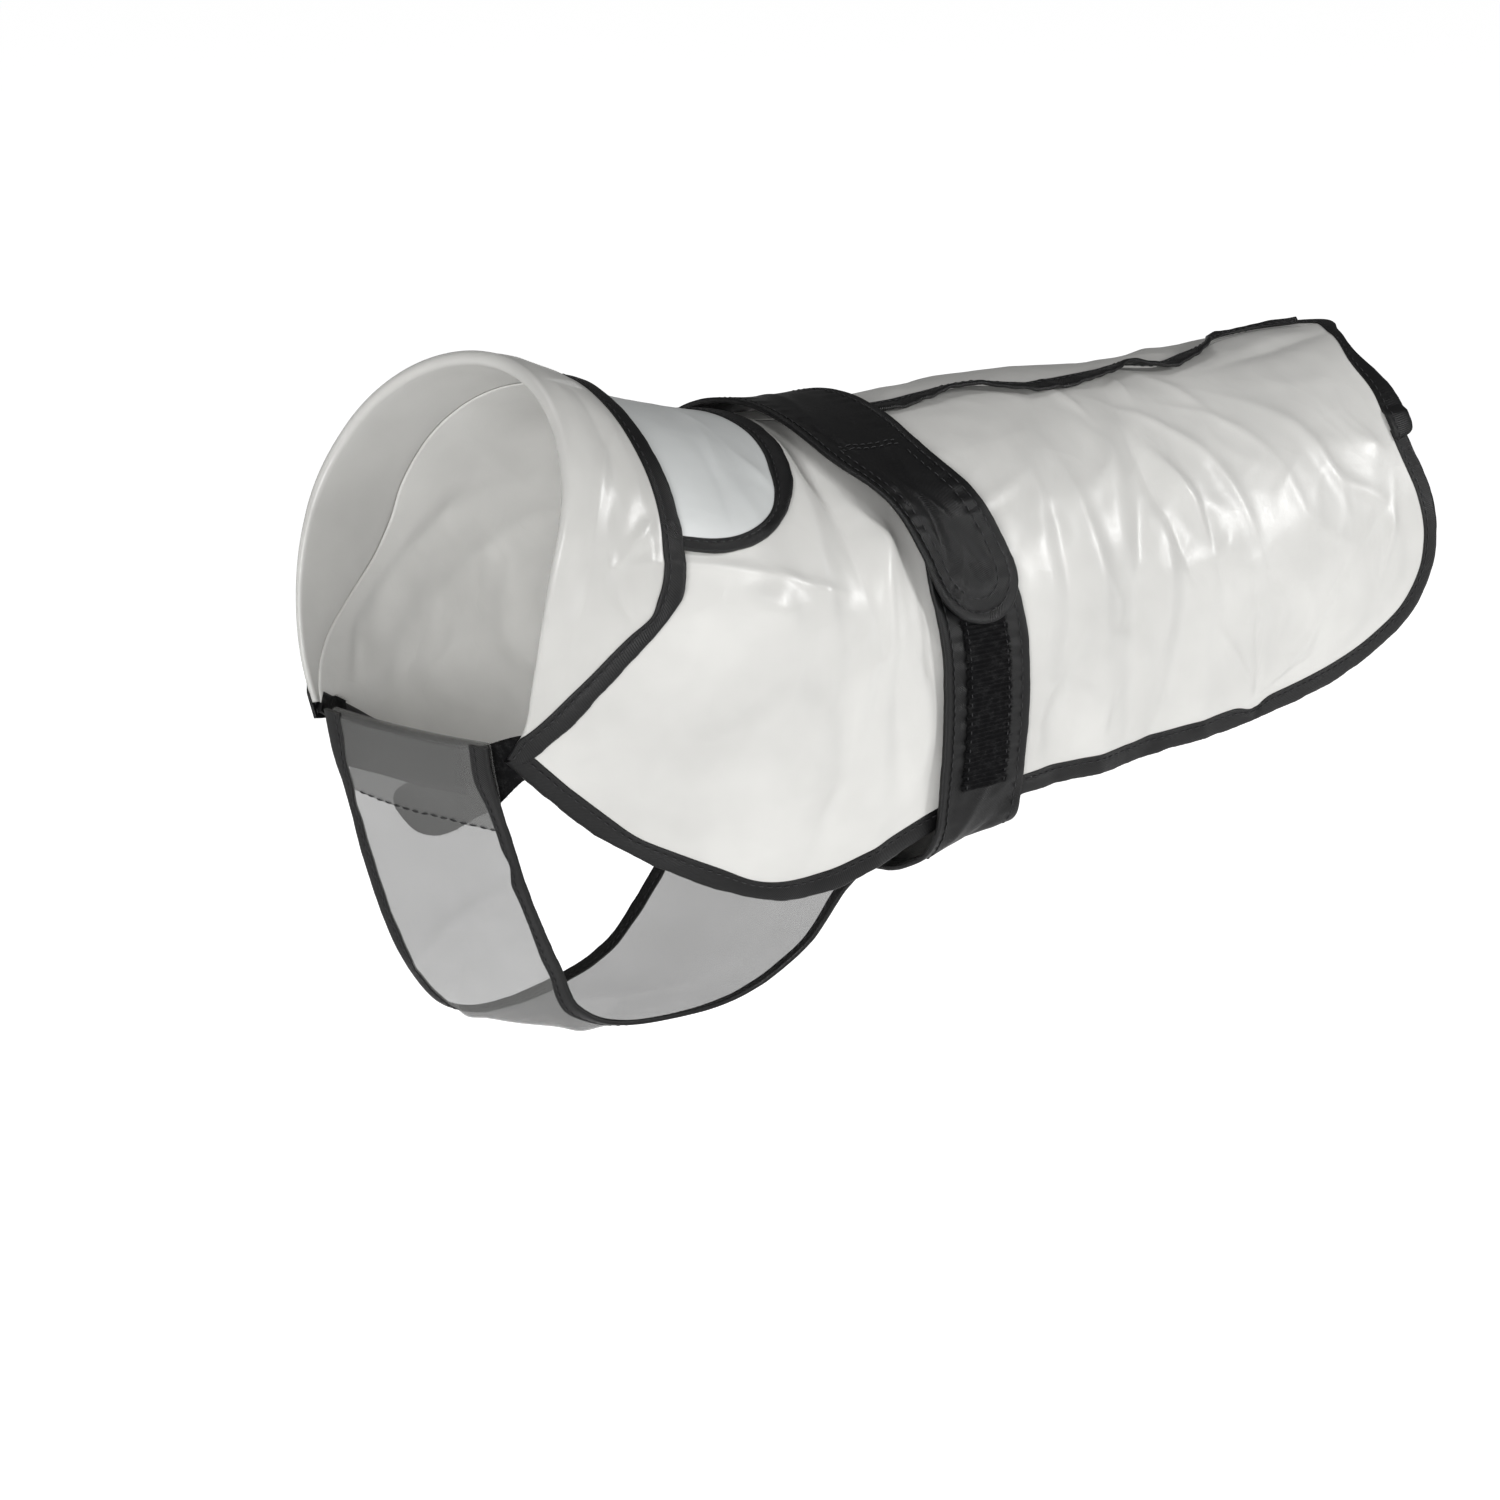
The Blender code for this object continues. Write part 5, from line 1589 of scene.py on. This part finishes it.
class RAINCOAT_OT_strap_binding(bpy.types.Operator):
    """Binding of the strap's long edges and its rounded tip"""

    bl_idname = "raincoat.strap_binding"
    bl_label = "Strap binding"

    def execute(self, context):
        radius, end = strap_ends()
        runs = np.linspace(radius, end, round((end - radius) / BINDING_STEP))
        halves = strap_middle(runs)[2][1] / 2
        turns = np.radians(np.linspace(-90, 90, 40))[1:-1]
        lines = []
        for trim in (0, STRAP_TAPE):
            front = np.stack([runs, trim - halves], -1)[::-1]
            tip = np.stack([radius - (radius - trim) * np.cos(turns), (radius - trim) * np.sin(turns)], -1)
            rear = np.stack([runs, halves - trim], -1)
            lines.append(np.concatenate([front, tip, rear]))
        outer, inner = lines

        def place(places, height):
            return strap_place(places[..., 0], places[..., 1], height)

        low = np.full(len(outer), -0.25)
        points = binding_points(place, outer, inner, low, WEBBING + 0.5, 3.1)
        piece = outward_tube("strap_binding", points, nylon_material())
        finish_piece(piece, "black_nylon", "belly_strap_tape")
        seam = outer + (inner - outer) * 0.72
        top = place(seam, WEBBING + 0.1)
        rows = [(top, unit(place(seam, WEBBING + 1.1) - top))]
        finish_piece(stitch_mesh("strap_stitches", rows, thread_material()), "black_nylon")
        return {"FINISHED"}


class RAINCOAT_OT_loop_tape(bpy.types.Operator):
    """Ribbed loop tape on the strap's lower layer, with frayed edges"""

    bl_idname = "raincoat.loop_tape"
    bl_label = "Loop tape"

    def execute(self, context):
        over, under = strap_lengths()
        ends = over + under + STRAP_LEAVES + np.array([HOOK_BOTTOM, HOOK_TOP])
        run = np.linspace(*ends, HOOK_ROWS)[:, None]
        there = np.linspace(-0.5, 0.5, HOOK_COLUMNS)
        back = np.linspace(0.5, -0.5, HOOK_COLUMNS)
        share = np.concatenate([there, back])[None]
        top = np.repeat([0.0, 1.0], HOOK_COLUMNS)[None]
        ragged = 0.6 * waver(run, 5.3, 0.2) * (np.abs(share) > 0.49)
        ribs = RIB_HEIGHT * np.sin(2 * pi * run / RIB_PITCH + 0.5 * waver(run, 33, 2.0))
        ribs = ribs + 0.1 * waver(run + 31 * share, 3.1, 1.0)
        sides = share * HOOK_WIDTH + np.sign(share) * ragged
        height = WEBBING + GAP + top * (1.0 + ribs) * (1 - 0.5 * (np.abs(share) > 0.49))
        points = strap_place(run, sides, height)
        piece = outward_tube("loop_tape", points, loop_material())
        finish_piece(piece, "hook_tape", "hook_tape")
        chance = np.random.default_rng(7)
        at = chance.uniform(ends[0], ends[1], HOOK_FIBRES)
        side = np.where(chance.random(HOOK_FIBRES) < 0.5, -1.0, 1.0)
        side = side * HOOK_WIDTH * chance.uniform(0.42, 0.51, HOOK_FIBRES)
        roots = strap_place(at, side, WEBBING + 1.1)
        lean = unit(strap_place(at, side * 1.04, WEBBING + 2.0) - roots)
        fray = fibre_mesh("loop_tape_fray", roots, lean, 1.5, loop_material(), 11)
        finish_piece(fray, "hook_tape")
        edge = []
        for side in (-0.43, 0.43):
            line = strap_place(run[:, 0], np.full(len(run), side * HOOK_WIDTH), WEBBING + 1.35)
            edge.append((line, unit(strap_place(run[:, 0], np.full(len(run), side * HOOK_WIDTH), 4.4) - line)))
        finish_piece(stitch_mesh("loop_tape_stitches", edge, thread_material()), "hook_tape")
        return {"FINISHED"}


def tunnel_seam(share):
    """mm down from the top fold to the tunnel's stitches: a straight line, a little lower at the near edge."""
    middle, slant = TUNNEL_SEAM
    return middle - slant * share + 0.4 * waver(share * 50, 60, 0.6)


class RAINCOAT_OT_chest_panel(bpy.types.Operator):
    """Chest panel with its tunnel: up the back layer, over the top fold, down the front and back to the strap"""

    bl_idname = "raincoat.chest_panel"
    bl_label = "Chest panel"

    def execute(self, context):
        room = (TUNNEL_ROOM + FILM) / 2
        turn = np.radians(np.linspace(8, 172, 12))
        back = np.linspace(TUNNEL_SEAM[0] + 2, room, 26)[:-1]
        swell = ease((back[0] - back) / 22)
        layer = np.stack([back, -(FILM + GAP) - (2 * room - FILM - GAP) * swell], -1)
        top = np.stack([room * (1 - np.sin(turn)), -room * (1 + np.cos(turn))], -1)
        down = np.arange(room, CHEST_PLACES[-1], 2.0)
        front = np.stack([down, np.zeros(len(down))], -1)
        profile = np.concatenate([layer, top, front])
        halves = chest_half(profile[:, 0])
        shares = np.linspace(-1, 1, 64)[None] * (1 - 3 / halves)[:, None]
        slant = (tunnel_seam(shares) - TUNNEL_SEAM[0]) * (np.arange(len(profile))[:, None] < len(back)) * (
            np.clip(profile[:, :1] / back[0], 0, 1)
        )
        points = chest_place(profile[:, :1] + slant, shares, profile[:, 1:])
        film = film_material("frosted_film_chest", colours().chest_film, colours().chest_cover, 8.0, 1.0)
        piece = finish_piece(add_sheet("chest_film", points, film), "frosted_film", "chest_panel")
        share = np.linspace(-0.9, 0.9, 90)
        deep = tunnel_seam(share)
        line = chest_place(deep, share, 0.45)
        rows = [(line, unit(chest_place(deep, share, 1.45) - line))]
        made = stitch_mesh("tunnel_stitches", rows, thread_material(), 0.0052, 0.0042, 0.0004)
        finish_piece(made, "black_nylon")
        return {"FINISHED"}


class RAINCOAT_OT_chest_bindings(bpy.types.Operator):
    """Folded bindings of the chest panel's two long edges"""

    bl_idname = "raincoat.chest_bindings"
    bl_label = "Chest bindings"

    def execute(self, context):
        down = np.linspace(0, CHEST_PLACES[-1], 240)
        halves = chest_half(down)
        rows = []
        for name, node, side in (
            ("near_chest_binding", "chest_tape_near", -1),
            ("far_chest_binding", "chest_tape_far", 1),
        ):
            outer = np.stack([np.full(len(down), float(side)), down], -1)
            width = TAPE_WIDTH * (0.62 + 0.38 * ease((34 - down) / 26) + 0.06 * waver(down, 90, side))
            width = width * (1 - 0.3 * np.exp(-(((down - (44 if side > 0 else 58)) / 6) ** 2)))
            inner = np.stack([side * (1 - width / halves), down], -1)
            low = np.full(len(down), -TAPE / 2)
            piece, stitched = add_binding(name, on_chest, outer, inner, low, TAPE, 4.1 + side)
            finish_piece(piece, "black_nylon", node)
            rows += stitched
        finish_piece(stitch_mesh("chest_stitches", rows, thread_material()), "black_nylon")
        return {"FINISHED"}


def tab_edges(roots, stops):
    """Upper and lower edge of a tab at its roots on the coat and at its stops on the chest panel."""
    *edges, inside = np.array(roots, float).T
    at_coat = np.stack([coat(*edges[k : k + 2], -inside, False) for k in (0, 2)], 1)
    *edges, inside = np.array(stops, float).T
    at_chest = np.stack([chest_place(edges[k + 1], edges[k], -inside) for k in (0, 2)], 1)
    return at_coat, at_chest


def add_tab(name, node, edges):
    """A ribbon through its upper and lower edges, and a fringe of fibres along both."""
    knots = distances(edges.mean(axis=1))
    at = np.linspace(0, knots[-1], round(knots[-1] / 1.6) + 1)
    top, bottom = np.split(smooth_rows(knots, edges.reshape(-1, 6), at), 2, axis=1)
    share = np.concatenate([np.linspace(0, 1, 18), np.linspace(1, 0, 18)])[None, :, None]
    face = np.concatenate([np.full(18, -0.5), np.full(18, 0.5)])[None, :, None]
    ahead = np.gradient((top + bottom) / 2, axis=0)
    facing = unit(np.cross(ahead, bottom - top))[:, None]
    rough = 0.12 * waver(at[:, None] + 17 * share[..., 0], 4.3, 0.9)[..., None]
    points = top[:, None] + (bottom - top)[:, None] * share + facing * face * (TAB_WALL * 0.85 + rough)
    finish_piece(outward_tube(name, points, loop_material()), "black_nylon", node)
    chance = np.random.default_rng(len(at))
    count = TAB_FIBRES
    pick = chance.integers(0, len(at), count)
    upper = chance.random(count) < 0.5
    line = np.where(upper[:, None], top[pick], bottom[pick])
    up = unit(top[pick] - bottom[pick]) * np.where(upper, 1.0, -1.0)[:, None]
    lean = unit(up + facing[pick, 0] * chance.normal(0, 0.5, (count, 1)))
    fray = fibre_mesh(name + "_fray", line - up * 0.4, lean, 1.6, loop_material(), 23 + count)
    finish_piece(fray, "black_nylon")


class RAINCOAT_OT_neck_tabs(bpy.types.Operator):
    """Two neck tabs of loop tape: the far one in the tunnel, the near one behind the chest panel"""

    bl_idname = "raincoat.neck_tabs"
    bl_label = "Neck tabs"

    def execute(self, context):
        at_coat, at_chest = tab_edges(NEAR_TAB_ROOTS, NEAR_TAB_STOPS)
        add_tab("near_neck_tab", "neck_tab_near", np.concatenate([at_coat, at_chest]))
        at_coat, at_chest = tab_edges(FAR_TAB_ROOTS, FAR_TAB_STOPS)
        add_tab("far_neck_tab", "neck_tab_far", np.concatenate([at_chest, at_coat]))
        return {"FINISHED"}


# ---------------------------------------------------------------- stage

# The photograph's frame: heading and height of the view in degrees, focal length and distance, and which place
# of the coat lies at which pixel of the square picture
PICTURE = 1500
VIEW_TURN = radians(36)
VIEW_RISE = radians(16.5)
LENS_PIXELS = 3500
VIEW_DISTANCE = 1.62
AIMED_PLACE = Vector((0, 0, -0.101))
AIMED_PIXEL = (870, 615)
FLOOR_DROP = 0.205
FLOOR_REACH = 30.0


def add_area(name, place, aim, size, power):
    light = bpy.data.lights.new(name, "AREA")
    light.shape = "RECTANGLE"
    light.size, light.size_y = size
    light.energy = power
    lamp = bpy.data.objects.new(name, light)
    lamp.location = place
    lamp.rotation_euler = (Vector(aim) - Vector(place)).to_track_quat("-Z", "Y").to_euler()
    bpy.context.scene.collection.objects.link(lamp)


class RAINCOAT_OT_stage(bpy.types.Operator):
    """Pale floor, soft lights and the camera"""

    bl_idname = "raincoat.stage"
    bl_label = "Stage"

    def execute(self, context):
        scene = context.scene
        right = Vector((cos(VIEW_TURN), -sin(VIEW_TURN), 0))
        back = Vector((-sin(VIEW_TURN) * cos(VIEW_RISE), -cos(VIEW_TURN) * cos(VIEW_RISE), sin(VIEW_RISE)))
        up = back.cross(right)
        middle = PICTURE / 2
        sight = -back + right * (AIMED_PIXEL[0] - middle) / LENS_PIXELS
        sight = sight + up * (middle - AIMED_PIXEL[1]) / LENS_PIXELS
        data = bpy.data.cameras.new("camera")
        data.sensor_width = 36
        data.lens = LENS_PIXELS / PICTURE * data.sensor_width
        data.clip_start, data.clip_end = 0.05, 60
        camera = bpy.data.objects.new("camera", data)
        turned = Matrix((right, up, back)).transposed().to_4x4()
        turned.translation = AIMED_PLACE - sight * VIEW_DISTANCE
        camera.matrix_world = turned
        scene.collection.objects.link(camera)
        scene.camera = camera

        height = CAD_BOX[0][2] - FLOOR_DROP
        reach = FLOOR_REACH
        corners = [(-reach, -reach), (reach, -reach), (reach, reach), (-reach, reach)]
        mesh = bpy.data.meshes.new("floor")
        mesh.from_pydata([(x, y, height) for x, y in corners], [], [(0, 1, 2, 3)])
        floor = bpy.data.objects.new("floor", mesh)
        scene.collection.objects.link(floor)
        made, nodes, shader = start_material("pale_floor", (0.9, 0.9, 0.9))
        place = nodes.add("ShaderNodeTexCoord").outputs["Object"]
        grain = nodes.add("ShaderNodeTexNoise", {"Vector": place, "Scale": 3.0, "Detail": 2.0})
        nodes.feed(shader.inputs["Base Color"], nodes.mix(grain.outputs[0], (0.86, 0.86, 0.86), (0.9, 0.9, 0.9)))
        shader.inputs["Roughness"].default_value = 0.9
        seen = nodes.add("ShaderNodeLightPath").outputs["Is Camera Ray"]
        nodes.feed(shader.inputs["Emission Color"], nodes.mix(seen, (0.3, 0.3, 0.3), (0.9, 0.9, 0.9)))
        shader.inputs["Emission Strength"].default_value = 1.0
        mesh.materials.append(made)

        world = bpy.data.worlds.new("studio")
        world.use_nodes = True
        nodes = Nodes(world.node_tree)
        seen = nodes.add("ShaderNodeLightPath").outputs["Is Camera Ray"]
        background = world.node_tree.nodes["Background"]
        nodes.feed(background.inputs["Color"], nodes.mix(seen, (0.1, 0.1, 0.1), (1.0, 1.0, 1.0)))
        background.inputs["Strength"].default_value = 1.0
        scene.world = world
        add_area("key", (-2.1, -2.2, 0.35), (0, 0, -0.1), (1.0, 1.1), 48)
        add_area("side", (1.9, -2.2, 1.1), (0.05, 0, -0.1), (0.7, 0.8), 40)
        add_area("top", (-0.6, 0.4, 2.6), (0, 0, 0), (1.2, 1.2), 13)
        add_area("front", (-2.9, 0.4, 0.6), (-0.2, 0, -0.16), (0.4, 0.8), 8)
        scene.view_settings.view_transform = "Standard"
        scene.view_settings.look = "None"
        scene.view_settings.exposure = 0.0
        return {"FINISHED"}


class RAINCOAT_PT_panel(bpy.types.Panel):
    bl_label = "Raincoat"
    bl_idname = "RAINCOAT_PT_panel"
    bl_space_type = "VIEW_3D"
    bl_region_type = "UI"
    bl_category = "Raincoat"

    def draw(self, context):
        for group in (context.scene.raincoat_sizes, context.scene.raincoat_colours):
            for key in group.__annotations__:
                self.layout.prop(group, key)
        for made in OPERATORS:
            self.layout.operator(made.bl_idname)


OPERATORS = (
    RAINCOAT_OT_stage,
    RAINCOAT_OT_back_panels,
    RAINCOAT_OT_hem_bindings,
    RAINCOAT_OT_seam_binding,
    RAINCOAT_OT_collar,
    RAINCOAT_OT_collar_binding,
    RAINCOAT_OT_flap,
    RAINCOAT_OT_flap_binding,
    RAINCOAT_OT_strap,
    RAINCOAT_OT_strap_binding,
    RAINCOAT_OT_loop_tape,
    RAINCOAT_OT_chest_panel,
    RAINCOAT_OT_chest_bindings,
    RAINCOAT_OT_neck_tabs,
)
CLASSES = (RaincoatSizes, RaincoatColours, *OPERATORS, RAINCOAT_PT_panel)


def register():
    for made in CLASSES:
        bpy.utils.register_class(made)
    bpy.types.Scene.raincoat_sizes = PointerProperty(type=RaincoatSizes)
    bpy.types.Scene.raincoat_colours = PointerProperty(type=RaincoatColours)


def unregister():
    del bpy.types.Scene.raincoat_colours
    del bpy.types.Scene.raincoat_sizes
    for made in reversed(CLASSES):
        bpy.utils.unregister_class(made)


def main():
    register()
    for made in OPERATORS:
        group, name = made.bl_idname.split(".")
        getattr(getattr(bpy.ops, group), name)()


if __name__ == "__main__":
    main()
